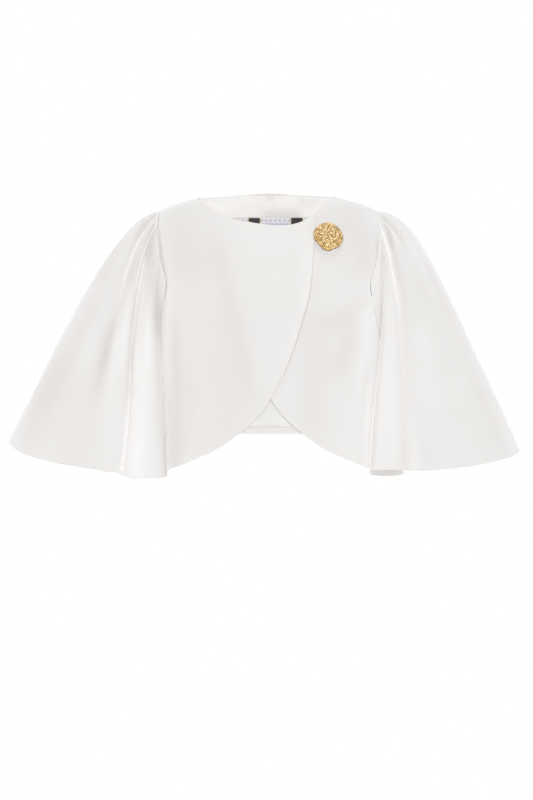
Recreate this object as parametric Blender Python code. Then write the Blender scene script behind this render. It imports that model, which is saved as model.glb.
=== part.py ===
"""A cropped bolero jacket, held in the hollow shape it has when it is worn.

The row frame is in metres, +Z up, with the front of the jacket facing -Y. Its origin lies midway between
the shoulder seams, at the middle of their slope, where the wearer's shoulders carry the jacket.
The wearer's right is at -X.

The bodice is a stack of level sections, each half an oval to the front and half to the back. Every bodice
piece is a patch of that form, cut by its own outline. Each sleeve is a tube of level rings, lofted from the
armhole to a hem that is drawn in plan, one table row for each fold.
"""

import math

import bpy
import numpy as np

# Cloth
SHELL = 0.0018  # crepe and its interfacing, as one wall
FACING = 0.0010
LABEL_CLOTH = 0.0008
SEAM_GAP = 0.0003
LAYER_GAP = 0.0005

# Landmarks of the bodice
SHOULDER_TIP_OUT, SHOULDER_TIP_Z = 0.1787, -0.0121
NECK_POINT_Z = {-1: 0.0108, 1: 0.0129}  # on the wearer's right and left
UNDERARM_Z = -0.172
SIDE_HEM_Z = -0.446
BACK_NECK_Z = 0.0245
BACK_HEM_Z = -0.383
BACK_HEM_FLAT = 0.060  # half the level stretch at the middle of the back hem
FRONTS_CROSS_X = 0.0037  # the fronts' outlines mirror each other about this line
FRONT_POWER, BACK_POWER = 2.5, 2.4  # how square the level sections are: 2 is an oval

# Level sections of the bodice: height, half width, depth of front, depth of back
SECTIONS = (
    (-0.460, 0.1935, 0.1205, 0.1125),
    (-0.380, 0.1920, 0.1230, 0.1110),
    (-0.300, 0.1910, 0.1260, 0.1080),
    (-0.235, 0.1885, 0.1290, 0.1075),
    (-0.190, 0.1835, 0.1290, 0.1100),
    (-0.172, 0.1810, 0.1270, 0.1110),
    (-0.150, 0.1850, 0.1230, 0.1115),
    (-0.1275, 0.1930, 0.1170, 0.1105),
    (-0.087, 0.2030, 0.1035, 0.1060),
    (-0.050, 0.1980, 0.0850, 0.0985),
    (-0.030, 0.1920, 0.0740, 0.0930),
    (-0.0121, 0.1787, 0.0630, 0.0870),
    (0.011, 0.1130, 0.0470, 0.0770),
    (0.0245, 0.0760, 0.0370, 0.0700),
    (0.045, 0.0200, 0.0200, 0.0560),
)

# Armhole seen from the front, from the shoulder tip down: distance out, height
ARMHOLE = (
    (0.1787, -0.0121),
    (0.1812, -0.030),
    (0.1815, -0.050),
    (0.1790, -0.087),
    (0.1735, -0.107),
    (0.1675, -0.1275),
    (0.1660, -0.143),
    (0.1705, -0.160),
    (0.1810, -0.172),
)
BACK_ARMHOLE_WIDER = 0.003

# Front neckline, from the wearer's right neck point: x, height
NECKLINE = (
    (-0.1136, 0.0108),
    (-0.1125, 0.0045),
    (-0.1043, -0.0035),
    (-0.0938, -0.0119),
    (-0.0817, -0.0199),
    (-0.0664, -0.0273),
    (-0.0500, -0.0322),
    (-0.0320, -0.0350),
    (-0.0215, -0.0372),
    (0.0018, -0.0401),
    (0.0184, -0.0415),
    (0.0382, -0.0394),
    (0.0549, -0.0340),
    (0.0632, -0.0288),
    (0.0726, -0.0199),
    (0.0835, -0.0112),
    (0.0945, 0.0000),
    (0.1076, 0.0129),
)

# Free edge of the right front, from the neckline down to the side hem: x, height
FRONT_EDGE = (
    (0.0775, -0.0220),
    (0.0745, -0.0600),
    (0.0705, -0.1300),
    (0.0626, -0.1743),
    (0.0353, -0.2609),
    (0.0037, -0.3240),
    (-0.0273, -0.3622),
    (-0.0711, -0.3967),
    (-0.1043, -0.4146),
    (-0.1604, -0.4375),
    (-0.1932, -0.4460),
)
EDGE_CORNER = 6  # row of FRONT_EDGE where the front edge becomes the hem
EDGE_LOW_SHARE = 0.52  # share of the free edge that lies beside the side seam, below the armhole
SHOULDER_SHARE = {-1: 0.28, 1: 0.34}  # share of a front's, half the back's columns on the shoulder

# The left front lies under the right one
UNDERLAP_STEP = 0.0036
UNDERLAP_FROM, UNDERLAP_TO = 0.082, 0.135

# Soft troughs and ridges of the bodice: x and height of both ends, depth inwards, half width
FRONT_FOLDS = (
    (-0.150, -0.030, -0.105, -0.150, 0.0035, 0.024),
    (-0.072, -0.070, -0.020, -0.320, -0.0030, 0.026),
    (-0.128, -0.200, -0.100, -0.400, 0.0025, 0.022),
    (-0.150, -0.150, -0.148, -0.300, -0.0025, 0.020),
    (0.150, -0.040, 0.135, -0.110, 0.0030, 0.020),
    (0.126, -0.180, 0.105, -0.390, 0.0028, 0.022),
    (0.146, -0.210, 0.150, -0.400, -0.0025, 0.018),
)
BACK_FOLDS = (
    (-0.140, -0.050, -0.085, -0.200, 0.0035, 0.026),
    (0.140, -0.050, 0.090, -0.190, 0.0030, 0.026),
    (-0.060, -0.180, -0.075, -0.360, -0.0030, 0.024),
    (0.050, -0.200, 0.062, -0.360, -0.0028, 0.024),
    (-0.005, -0.060, 0.003, -0.330, 0.0022, 0.030),
)

# Facing, lining, turned hem and label inside the back
FACING_DEPTH = 0.038
FACING_ROWS = 2
HEM_TURN = 0.011
LABEL_WIDTH, LABEL_DROP, LABEL_X = 0.112, 0.042, 0.006

# Stations round a sleeve. share: how far round the armhole, from the tip over the front. out, back, height:
# where the hem passes. lift_*: the cloth's heading as it leaves the armhole. fall_*: its heading at the hem.
# swell: how much further out it passes half-way.
# share, out, back, height, lift_out, lift_back, lift_up, fall_out, fall_back, swell
RIGHT_SLEEVE = (
    (0.000, 0.4305, 0.000, -0.3955, 0.240, 0.000, 0.000, 0.220, 0.000, 0.000),
    (0.026, 0.4030, -0.044, -0.4105, 0.236, -0.050, -0.030, 0.200, -0.020, 0.000),
    (0.052, 0.3450, -0.082, -0.4235, 0.224, -0.090, -0.100, 0.150, -0.030, 0.000),
    (0.080, 0.2850, -0.105, -0.4345, 0.200, -0.110, -0.200, 0.110, -0.030, 0.000),
    (0.100, 0.2470, -0.113, -0.4410, 0.180, -0.120, -0.280, 0.080, -0.030, 0.000),
    (0.115, 0.2345, -0.101, -0.4385, 0.170, -0.110, -0.300, 0.070, -0.020, 0.000),
    (0.132, 0.2430, -0.085, -0.4395, 0.160, -0.070, -0.300, 0.070, -0.010, 0.000),
    (0.152, 0.2450, -0.071, -0.4430, 0.130, -0.020, -0.300, 0.070, 0.000, 0.000),
    (0.185, 0.2260, -0.081, -0.4515, 0.080, -0.020, -0.300, 0.060, 0.000, 0.000),
    (0.225, 0.1990, -0.096, -0.4515, 0.055, -0.030, -0.300, 0.030, -0.010, 0.000),
    (0.254, 0.1770, -0.1010, -0.4510, 0.048, -0.025, -0.300, 0.010, -0.015, 0.000),
    (0.280, 0.1655, -0.0960, -0.4490, 0.046, -0.015, -0.300, 0.000, -0.020, 0.000),
    (0.308, 0.1655, -0.0860, -0.4480, 0.048, 0.000, -0.300, 0.000, -0.020, 0.000),
    (0.345, 0.1780, -0.0720, -0.4475, 0.050, 0.010, -0.300, 0.000, -0.015, 0.000),
    (0.400, 0.1955, -0.044, -0.4480, 0.055, 0.000, -0.280, 0.010, -0.010, 0.000),
    (0.500, 0.2050, 0.000, -0.4480, 0.065, 0.000, -0.280, 0.020, 0.000, 0.000),
    (0.600, 0.2020, 0.043, -0.4470, 0.065, 0.010, -0.280, 0.010, 0.010, 0.000),
    (0.675, 0.1985, 0.082, -0.4450, 0.055, 0.030, -0.300, 0.010, 0.020, 0.000),
    (0.735, 0.2220, 0.113, -0.4420, 0.060, 0.060, -0.300, 0.040, 0.030, 0.000),
    (0.790, 0.2600, 0.103, -0.4380, 0.100, 0.080, -0.280, 0.080, 0.010, 0.000),
    (0.845, 0.3030, 0.114, -0.4310, 0.150, 0.100, -0.200, 0.120, 0.030, 0.000),
    (0.900, 0.3560, 0.085, -0.4215, 0.200, 0.090, -0.100, 0.160, 0.030, 0.000),
    (0.955, 0.4050, 0.046, -0.4100, 0.230, 0.050, -0.040, 0.200, 0.020, 0.000),
)
LEFT_SLEEVE = (
    (0.000, 0.4165, 0.000, -0.4085, 0.320, 0.000, 0.000, 0.170, 0.000, -0.015),
    (0.016, 0.4050, -0.024, -0.4165, 0.315, -0.030, -0.010, 0.170, -0.010, -0.015),
    (0.030, 0.3830, -0.036, -0.4230, 0.285, -0.050, -0.040, 0.160, -0.010, -0.012),
    (0.046, 0.3400, -0.067, -0.4310, 0.245, -0.090, -0.090, 0.140, -0.020, -0.006),
    (0.062, 0.2880, -0.087, -0.4365, 0.190, -0.100, -0.160, 0.110, -0.020, 0.000),
    (0.078, 0.2460, -0.093, -0.4390, 0.150, -0.090, -0.240, 0.080, -0.010, 0.000),
    (0.100, 0.2150, -0.112, -0.4380, 0.110, -0.120, -0.280, 0.030, -0.020, 0.000),
    (0.125, 0.1720, -0.114, -0.4385, 0.080, -0.110, -0.300, 0.000, -0.020, 0.000),
    (0.152, 0.1645, -0.101, -0.4440, 0.070, -0.080, -0.300, 0.000, -0.020, 0.000),
    (0.182, 0.1760, -0.087, -0.4475, 0.080, -0.030, -0.300, 0.020, -0.010, 0.000),
    (0.225, 0.2060, -0.072, -0.4485, 0.085, 0.050, -0.300, 0.050, 0.000, 0.000),
    (0.290, 0.2200, -0.050, -0.4455, 0.065, 0.010, -0.300, 0.060, 0.000, 0.000),
    (0.365, 0.2090, -0.032, -0.4440, 0.052, -0.030, -0.290, 0.040, 0.000, 0.000),
    (0.430, 0.2040, -0.012, -0.4485, 0.060, -0.010, -0.280, 0.020, 0.000, 0.000),
    (0.500, 0.2050, 0.014, -0.4480, 0.065, 0.000, -0.280, 0.020, 0.000, 0.000),
    (0.600, 0.2020, 0.048, -0.4470, 0.065, 0.010, -0.280, 0.010, 0.010, 0.000),
    (0.675, 0.2005, 0.084, -0.4450, 0.055, 0.030, -0.300, 0.010, 0.020, 0.000),
    (0.735, 0.2240, 0.111, -0.4420, 0.060, 0.060, -0.300, 0.040, 0.030, 0.000),
    (0.790, 0.2600, 0.100, -0.4390, 0.100, 0.080, -0.280, 0.080, 0.010, 0.000),
    (0.845, 0.3000, 0.112, -0.4345, 0.150, 0.100, -0.200, 0.110, 0.030, 0.000),
    (0.900, 0.3480, 0.084, -0.4280, 0.225, 0.090, -0.100, 0.140, 0.030, -0.004),
    (0.955, 0.3950, 0.046, -0.4180, 0.290, 0.050, -0.040, 0.160, 0.020, -0.010),
)

# Pleats and soft creases of a sleeve: station share at the armhole, a fifth of the way down, half-way and at
# the hem, where down the sleeve it starts and ends, depth inwards, half width in station share
SLEEVE_CREASES = {
    "sleeve_right": (
        (0.018, 0.016, 0.020, 0.022, 0.00, 0.20, 0.0045, 0.007),
        (0.036, 0.056, 0.066, 0.072, 0.00, 0.90, 0.0085, 0.011),
        (0.083, 0.092, 0.106, 0.116, 0.00, 0.55, 0.0050, 0.008),
        (0.900, 0.895, 0.892, 0.890, 0.00, 0.30, 0.0050, 0.014),
        (0.950, 0.948, 0.946, 0.945, 0.00, 0.22, 0.0045, 0.010),
    ),
    "sleeve_left": (
        (0.018, 0.016, 0.015, 0.014, 0.00, 0.16, 0.0045, 0.007),
        (0.046, 0.052, 0.056, 0.060, 0.00, 0.30, 0.0070, 0.008),
        (0.086, 0.084, 0.080, 0.078, 0.00, 0.50, 0.0045, 0.009),
        (0.900, 0.895, 0.892, 0.890, 0.00, 0.30, 0.0050, 0.014),
        (0.950, 0.948, 0.946, 0.945, 0.00, 0.22, 0.0045, 0.010),
    ),
}
CREASE_STOPS = (0.0, 0.2, 0.5, 1.0)

# Button, on the left front beside the right front's edge
BUTTON_X, BUTTON_Z = 0.0958, -0.0622
BUTTON_THICK = 0.0080
BUTTON_PETALS = 6
BUTTON_OUTLINE = (  # degrees and reach, from the wearer's left upwards
    (0, 0.0246),
    (26, 0.0240),
    (59, 0.0250),
    (92, 0.0254),
    (116, 0.0244),
    (157, 0.0248),
    (172, 0.0243),
    (197, 0.0236),
    (214, 0.0222),
    (233, 0.0238),
    (248, 0.0262),
    (269, 0.0272),
    (288, 0.0246),
    (310, 0.0252),
    (332, 0.0252),
    (350, 0.0247),
)
BUTTON_TURN = math.radians(20)
SHANK_RADIUS = 0.0050

# Grid sizes
FRONT_ACROSS, BACK_ACROSS, PANEL_LOW, PANEL_HIGH = 16, 13, 8, 12
SLEEVE_ROUND, SLEEVE_DOWN = 60, 13
CURVE_STEPS = 24  # points on each span of an outline
TOP_FADE = 5
ARMHOLE_PACE = 0.9  # weight of the armhole against the hem in a sleeve's columns

CREPE = {"name": "crepe", "colour": (0.86, 0.85, 0.83), "roughness": 0.75, "metallic": 0.0}
LINING = {"name": "lining", "colour": (0.84, 0.83, 0.86), "roughness": 0.45, "metallic": 0.0}
BLACK = {"name": "label_black", "colour": (0.03, 0.03, 0.04), "roughness": 0.60, "metallic": 0.0}
GOLD = {"name": "gold", "colour": (0.83, 0.62, 0.28), "roughness": 0.30, "metallic": 1.0}


def unit(vectors):
    """The same directions at length one."""
    return vectors / np.maximum(np.linalg.norm(vectors, axis=-1, keepdims=True), 1e-12)


def smooth(t):
    """0 to 1 with level ends."""
    t = np.clip(t, 0.0, 1.0)
    return t * t * (3.0 - 2.0 * t)


def cubic_through(knots, values, at):
    """A smooth curve through the values at the knots, which never swings past them."""
    knots, values, at = np.asarray(knots, float), np.asarray(values, float), np.asarray(at, float)
    step = np.diff(knots)
    slope = np.diff(values) / step
    heading = np.zeros(len(knots))
    heading[0], heading[-1] = slope[0], slope[-1]
    left, right = slope[:-1], slope[1:]
    same_way = left * right > 0
    weight_left = 2.0 * step[1:] + step[:-1]
    weight_right = step[1:] + 2.0 * step[:-1]
    safe_left = np.where(same_way, left, 1.0)
    safe_right = np.where(same_way, right, 1.0)
    mean = (weight_left + weight_right) / (weight_left / safe_left + weight_right / safe_right)
    heading[1:-1] = np.where(same_way, mean, 0.0)
    cell = np.clip(np.searchsorted(knots, at) - 1, 0, len(step) - 1)
    span = step[cell]
    t = (np.clip(at, knots[0], knots[-1]) - knots[cell]) / span
    return (
        (2 * t**3 - 3 * t**2 + 1) * values[cell]
        + (t**3 - 2 * t**2 + t) * span * heading[cell]
        + (3 * t**2 - 2 * t**3) * values[cell + 1]
        + (t**3 - t**2) * span * heading[cell + 1]
    )


def curve_through(points, count_at, closed=False):
    """Points on a Catmull-Rom curve through the given points. count_at holds positions in point numbers."""
    points, at = np.asarray(points, float), np.asarray(count_at, float)
    last = len(points)
    cell = np.floor(at).astype(int)
    if not closed:
        cell = np.clip(cell, 0, last - 2)
    t = (at - cell)[..., None]
    if closed:
        before, start, end, after = (points[(cell + k) % last] for k in (-1, 0, 1, 2))
    else:
        start, end = points[cell], points[cell + 1]
        before = np.where((cell > 0)[..., None], points[np.maximum(cell - 1, 0)], 2 * start - end)
        beyond = points[np.minimum(cell + 2, last - 1)]
        after = np.where((cell < last - 2)[..., None], beyond, 2 * end - start)
    return 0.5 * (
        2 * start
        + (end - before) * t
        + (2 * before - 5 * start + 4 * end - after) * t**2
        + (3 * start - before - 3 * end + after) * t**3
    )


def fine_curve(points):
    """A dense polyline through the points."""
    spans = len(points) - 1
    return curve_through(points, np.linspace(0, spans, spans * CURVE_STEPS + 1))


def section(z, column):
    """Column 1 is the half width, 2 the front's depth and 3 the back's, at height z."""
    rows = np.array(SECTIONS)
    return cubic_through(rows[:, 0], rows[:, column], z)


def torso(turn, z, facing):
    """Points and outward normals of the bodice's form. turn is 0 at the middle and a quarter circle at the
    side, facing is -1 for the front and 1 for the back."""
    column, power = (2, FRONT_POWER) if facing < 0 else (3, BACK_POWER)
    half, depth = section(z, 1), section(z, column)
    sine = np.clip(np.sin(turn), -1.0, 1.0)
    rest = np.maximum(1.0 - np.abs(sine) ** power, 0.0)
    x, y = half * sine, facing * depth * rest ** (1.0 / power)
    step = 0.0005
    half_slope = (section(z + step, 1) - section(z - step, 1)) / (2 * step)
    depth_slope = (section(z + step, column) - section(z - step, column)) / (2 * step)
    side, deep = np.abs(x) / half, np.abs(y) / depth
    normal = np.stack(
        [
            np.sign(x) * side ** (power - 1) / half,
            facing * deep ** (power - 1) / depth,
            -(side**power) * half_slope / half - deep**power * depth_slope / depth,
        ],
        axis=-1,
    )
    return np.stack([x, y, z], axis=-1), unit(normal)


def turn_of(x, z):
    """The turn at which the form's section at height z is x from the middle."""
    return np.arcsin(np.clip(x / section(z, 1), -1.0, 1.0))


def fold_depth(x, z, folds):
    """How far the soft folds push the cloth inwards at x, z."""
    total = np.zeros_like(x)
    for x0, z0, x1, z1, depth, half_width in folds:
        along = np.array([x1 - x0, z1 - z0])
        length = np.linalg.norm(along)
        along /= length
        run = (x - x0) * along[0] + (z - z0) * along[1]
        off = (x - x0) * along[1] - (z - z0) * along[0]
        ends = smooth((run + 0.3 * length) / (0.6 * length)) * smooth((1.3 * length - run) / (0.6 * length))
        total += depth * np.exp(-((off / half_width) ** 2)) * ends
    return total


def armhole_line(facing):
    """The armhole on the +X side as turn and height, from the underarm up to the shoulder tip."""
    line = fine_curve(ARMHOLE)[::-1]
    out, z = line[:, 0].copy(), line[:, 1]
    if facing > 0:
        climb = smooth((z - UNDERARM_Z) / (SHOULDER_TIP_Z - UNDERARM_Z))
        out += BACK_ARMHOLE_WIDER * np.sin(np.pi * climb) ** 2
    turn = turn_of(out, z)
    turn[0] = turn[-1] = math.pi / 2
    return np.stack([turn, z], axis=-1)


def in_turns(line):
    """An outline of x and height as turn and height."""
    line = np.asarray(line, float)
    return np.stack([turn_of(line[:, 0], line[:, 1]), line[:, 1]], axis=-1)


def by_length(line, shares, facing):
    """Points of an outline in turn and height, at shares of its length on the form."""
    line = np.asarray(line, float)
    points, _ = torso(line[:, 0], line[:, 1], facing)
    run = np.concatenate([[0.0], np.cumsum(np.linalg.norm(np.diff(points, axis=0), axis=1))])
    at = np.asarray(shares) * run[-1]
    return np.stack([np.interp(at, run, line[:, 0]), np.interp(at, run, line[:, 1])], axis=-1)


def patch(bottom, top, start, end):
    """The grid between four outlines. bottom and top run from start's side to end's side, and their own
    shape dies away quickly from row to row, so that no row leaves the armhole's outline."""
    v = np.linspace(0, 1, len(start))[:, None, None]
    s = np.linspace(0, 1, len(bottom))[None, :, None]
    rows = (1 - s) * start[:, None] + s * end[:, None]
    from_bottom = bottom[None] - ((1 - s) * bottom[0] + s * bottom[-1])
    from_top = top[None] - ((1 - s) * top[0] + s * top[-1])
    return rows + (1 - v) ** 2 * from_bottom + v**TOP_FADE * from_top


def side_and_armhole(facing, low, shares):
    """The outer outline of a bodice piece on the +X side. low holds the heights up the side seam, shares the
    rows up the armhole to the shoulder tip."""
    seam = np.stack([np.full(len(low), math.pi / 2), low], axis=-1)
    return np.concatenate([seam[:-1], by_length(armhole_line(facing), shares, facing)])


def shoulder_seam(side, shares):
    """The shoulder seam on one side, from the tip to the neck point, as turn and height."""
    z = SHOULDER_TIP_Z + (NECK_POINT_Z[side] - SHOULDER_TIP_Z) * np.asarray(shares)
    return np.stack([np.full_like(z, side * math.pi / 2), z], axis=-1)


def back_neckline(side, shares):
    """The back neckline from one neck point to the middle, as turn and height."""
    turn = side * math.pi / 2 * (1 - np.asarray(shares))
    z = NECK_POINT_Z[side] + (BACK_NECK_Z - NECK_POINT_Z[side]) * smooth(np.asarray(shares)) ** 0.8
    return np.stack([turn, z], axis=-1)


def back_hem(side, shares):
    """The back hem from one side seam to the middle, as turn and height."""
    turn = math.pi / 2 * (1 - np.asarray(shares))
    flat = math.asin(BACK_HEM_FLAT / section(BACK_HEM_Z, 1))
    z = BACK_HEM_Z + (SIDE_HEM_Z - BACK_HEM_Z) * smooth((turn - flat) / (math.pi / 2 - flat))
    return np.stack([side * turn, z], axis=-1)


def rows_of_edge(line, low, high):
    """Shares a front's free edge out in rows, so that they lie level with those at its side seam."""
    shares = stepped(0.0, low, EDGE_LOW_SHARE, high, 1.0)
    return by_length(line, shares, -1)


def front_grid(mirror, across, low, high):
    """Turn and height of a front, from its side seam to its free edge. mirror is -1 for the right front,
    whose side seam is at -X, and 1 for the left."""
    shift = 0.0 if mirror < 0 else 2 * FRONTS_CROSS_X
    edge = fine_curve(FRONT_EDGE)
    corner = EDGE_CORNER * CURVE_STEPS
    if mirror > 0:
        edge = edge * (-1.0, 1.0) + (shift, 0.0)
        edge[-1] = (section(SIDE_HEM_Z, 1), SIDE_HEM_Z)
    neckline = fine_curve(NECKLINE)
    if mirror > 0:
        neckline = neckline[::-1]
    keep = neckline[:, 0] * mirror > edge[0, 0] * mirror
    neckline = np.concatenate([neckline[keep], edge[:1]])
    edge[0, 1] = np.interp(edge[0, 0] * mirror, neckline[::-1, 0] * mirror, neckline[::-1, 1])
    neckline[-1] = edge[0]
    turns = in_turns(neckline)
    turns[0, 0] = mirror * math.pi / 2

    inner = in_turns(edge[: corner + 1][::-1])
    hem = in_turns(edge[corner:][::-1])
    hem[0, 0] = mirror * math.pi / 2

    shoulder_columns = max(3, round(across * SHOULDER_SHARE[-1]))
    seam = shoulder_seam(mirror, np.linspace(0, 1, shoulder_columns + 1)[:-1])
    neck = by_length(turns, np.linspace(0, 1, across - shoulder_columns + 1), -1)
    top = np.concatenate([seam, neck])
    bottom = by_length(hem, np.linspace(0, 1, across + 1), -1)
    seam_z = np.linspace(SIDE_HEM_Z, UNDERARM_Z, low + 1)
    outer = side_and_armhole(-1, seam_z, armhole_shares(-1, high)) * (mirror, 1.0)
    inner = rows_of_edge(inner, low, high)
    bottom[0], top[0] = outer[0], outer[-1]
    bottom[-1], top[-1] = inner[0], inner[-1]
    return patch(bottom, top, outer, inner)


def stepped(*stops):
    """Heights or shares in even steps between stops, each given as value, steps, value, steps and so on."""
    made = [np.array([stops[0]])]
    for start, steps, end in zip(stops[0::2], stops[1::2], stops[2::2]):
        made.append(np.linspace(start, end, steps + 1)[1:])
    return np.concatenate(made)


def back_grid(across, low, high):
    """Turn and height of the whole back, from the -X side to the +X side. One row runs along the top of the
    turned hem and one along the facing's lower edge."""
    waist, neck = UNDERARM_Z + 0.010, BACK_NECK_Z - FACING_DEPTH
    seam_z = stepped(SIDE_HEM_Z, 1, SIDE_HEM_Z + HEM_TURN, low - 1, UNDERARM_Z)
    outer = side_and_armhole(1, seam_z, armhole_shares(1, high))
    middle_z = stepped(BACK_HEM_Z, 1, BACK_HEM_Z + HEM_TURN, low - 1, waist)
    upper = stepped(waist, high - FACING_ROWS, neck, FACING_ROWS, BACK_NECK_Z)
    middle_z = np.concatenate([middle_z, upper[1:]])
    middle = np.stack([np.zeros(low + high + 1), middle_z], axis=-1)
    shoulder_columns = max(3, round(across * SHOULDER_SHARE[1]))
    halves = []
    for side in (-1, 1):
        seam = shoulder_seam(side, np.linspace(0, 1, shoulder_columns + 1)[:-1])
        neck_line = back_neckline(side, np.linspace(0, 1, 200))
        neck_shares = np.linspace(0, 1, across - shoulder_columns + 1)
        top = np.concatenate([seam, by_length(neck_line, neck_shares, 1)])
        bottom = by_length(back_hem(side, np.linspace(0, 1, 200)), np.linspace(0, 1, across + 1), 1)
        halves.append(patch(bottom, top, outer * (side, 1.0), middle))
    return np.concatenate([halves[0], halves[1][:, ::-1][:, 1:]], axis=1)


def inset(points, normals, amount):
    """Draws a grid's outer points in along the cloth, so that neighbours stand apart at their seams."""
    rows, columns = points.shape[:2]
    moved = points.copy()
    for edge, inside in (
        ((slice(None), 0), (slice(None), 1)),
        ((slice(None), columns - 1), (slice(None), columns - 2)),
        ((0, slice(None)), (1, slice(None))),
        ((rows - 1, slice(None)), (rows - 2, slice(None))),
    ):
        border = points[edge]
        heading = np.gradient(border, axis=0)
        inward = points[inside] - border
        for straight in (heading, normals[edge]):
            straight = straight / np.maximum(np.linalg.norm(straight, axis=-1, keepdims=True), 1e-12)
            inward = inward - (inward * straight).sum(-1, keepdims=True) * straight
        inward /= np.maximum(np.linalg.norm(inward, axis=-1, keepdims=True), 1e-12)
        moved[edge] += inward * amount
    return moved


def wall_faces(outer_points, closed):
    """Triangles of a wall whose outer grid comes first and inner grid second. Both sides share diagonals."""
    rows, columns = outer_points.shape[:2]
    outer = np.arange(rows * columns).reshape(rows, columns)
    if closed:
        outer = np.concatenate([outer, outer[:, :1]], axis=1)
    inner = outer + rows * columns
    flat = outer_points.reshape(-1, 3)
    a, b, c, d = outer[:-1, :-1], outer[:-1, 1:], outer[1:, 1:], outer[1:, :-1]
    short = np.linalg.norm(flat[a] - flat[c], axis=-1) <= np.linalg.norm(flat[b] - flat[d], axis=-1)
    first = np.where(short[..., None], np.stack([a, b, c], axis=-1), np.stack([a, b, d], axis=-1))
    second = np.where(short[..., None], np.stack([a, c, d], axis=-1), np.stack([b, c, d], axis=-1))
    front = np.concatenate([first.reshape(-1, 3), second.reshape(-1, 3)])
    faces = [front, front[:, ::-1] + rows * columns]
    rims = [(outer[0][::-1], inner[0][::-1]), (outer[-1], inner[-1])]
    if not closed:
        rims += [(outer[:, 0], inner[:, 0]), (outer[:, -1][::-1], inner[:, -1][::-1])]
    for edge, under in rims:
        faces.append(np.stack([edge[:-1], edge[1:], under[1:]], axis=-1))
        faces.append(np.stack([edge[:-1], under[1:], under[:-1]], axis=-1))
    return np.concatenate(faces).tolist()


def material(finish):
    """A Principled material of that colour, roughness and metallic value."""
    made = bpy.data.materials.get(finish["name"]) or bpy.data.materials.new(finish["name"])
    made.use_nodes = True
    shader = made.node_tree.nodes["Principled BSDF"]
    shader.inputs["Base Color"].default_value = (*finish["colour"], 1.0)
    shader.inputs["Roughness"].default_value = finish["roughness"]
    shader.inputs["Metallic"].default_value = finish["metallic"]
    return made


def add_object(name, points, faces, finish, holder):
    """A named mesh object with outward faces, smooth but for its rims."""
    mesh = bpy.data.meshes.new(name)
    mesh.from_pydata(np.asarray(points, float).reshape(-1, 3).tolist(), [], faces)
    mesh.update()
    corners = np.array([v.co for v in mesh.vertices], float)
    mesh.calc_loop_triangles()
    tris = np.array([t.vertices for t in mesh.loop_triangles])
    if np.linalg.det(corners[tris]).sum() < 0:
        mesh.flip_normals()
    mesh.shade_smooth()
    mesh.set_sharp_from_angle(angle=math.radians(50))
    mesh.materials.append(material(finish))
    made = bpy.data.objects.new(name, mesh)
    bpy.context.scene.collection.objects.link(made)
    made.parent = holder
    return made


def add_wall(name, outer, normals, thickness, finish, holder, closed=False):
    """A cloth wall: the outer grid, and the same points moved inwards."""
    inner = outer - normals * thickness
    points = np.concatenate([outer.reshape(-1, 3), inner.reshape(-1, 3)])
    return add_object(name, points, wall_faces(outer, closed), finish, holder)


def bodice_points(grid, facing, folds, sunk=0.0):
    """Outer points and normals of a bodice piece: the form, its folds, and how far it is sunk inwards."""
    points, normals = torso(grid[..., 0], grid[..., 1], facing)
    depth = fold_depth(points[..., 0], points[..., 2], folds) * smooth(np.cos(grid[..., 0]) / 0.5)
    return points - normals * (depth + sunk)[..., None], normals


def underlap(grid):
    """How far the left front is sunk so that it lies under the right one."""
    x = section(grid[..., 1], 1) * np.sin(grid[..., 0])
    return UNDERLAP_STEP * smooth((UNDERLAP_TO - x) / (UNDERLAP_TO - UNDERLAP_FROM))


def front_piece(mirror, across=FRONT_ACROSS, low=PANEL_LOW, high=PANEL_HIGH):
    """Outer points and normals of a front."""
    grid = front_grid(mirror, across, low, high)
    points, normals = bodice_points(grid, -1, FRONT_FOLDS, underlap(grid) if mirror > 0 else 0.0)
    return inset(points, normals, SEAM_GAP / 2), normals


def back_piece(across=BACK_ACROSS, low=PANEL_LOW, high=PANEL_HIGH):
    """Outer points and normals of the back."""
    points, normals = bodice_points(back_grid(across, low, high), 1, BACK_FOLDS)
    return inset(points, normals, SEAM_GAP / 2), normals


def inside_back(rows, columns=slice(None), across=BACK_ACROSS, low=PANEL_LOW, high=PANEL_HIGH):
    """Outer points and normals of a layer made from some of the back's points, against its inside."""
    points, normals = bodice_points(back_grid(across, low, high), 1, BACK_FOLDS)
    points, normals = points[rows, columns], normals[rows, columns]
    return inset(points - normals * (SHELL + LAYER_GAP), normals, SEAM_GAP / 2), normals


def label_piece(across=8, down=4):
    """Outer points and normals of the label, on the lining just below the facing."""
    x = np.linspace(-0.5, 0.5, across + 1) * LABEL_WIDTH + LABEL_X
    top = BACK_NECK_Z - FACING_DEPTH - 0.0005
    share = np.linspace(0, 1, down + 1)[:, None]
    z = top - LABEL_DROP * (1 - share) + 0.0 * x
    grid = np.stack([turn_of(np.broadcast_to(x, z.shape), z), z], axis=-1)
    return bodice_points(grid, 1, BACK_FOLDS, np.full(z.shape, SHELL + FACING + 3 * LAYER_GAP))


def armhole_shares(facing, high):
    """Where the rows of a bodice piece meet its armhole, from the underarm up."""
    if facing < 0:
        return np.linspace(0, 1, high + 1)
    return stepped(0.0, high - FACING_ROWS, 0.80, FACING_ROWS, 1.0)


def armhole_ring(side, high):
    """The bodice's own points round the whole armhole, from the shoulder tip over the front, with its
    outward normals there and each point's share of the way round. side is -1 for the wearer's right."""
    made = []
    for facing, folds in ((-1, FRONT_FOLDS), (1, BACK_FOLDS)):
        line = by_length(armhole_line(facing), armhole_shares(facing, high), facing) * (side, 1.0)
        made.append(bodice_points(line, facing, folds))
    points = np.concatenate([made[0][0][::-1], made[1][0][1:]])
    normals = np.concatenate([made[0][1][::-1], made[1][1][1:]])
    run = np.concatenate([[0.0], np.cumsum(np.linalg.norm(np.diff(points, axis=0), axis=1))])
    return points, normals, run / run[-1]


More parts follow.
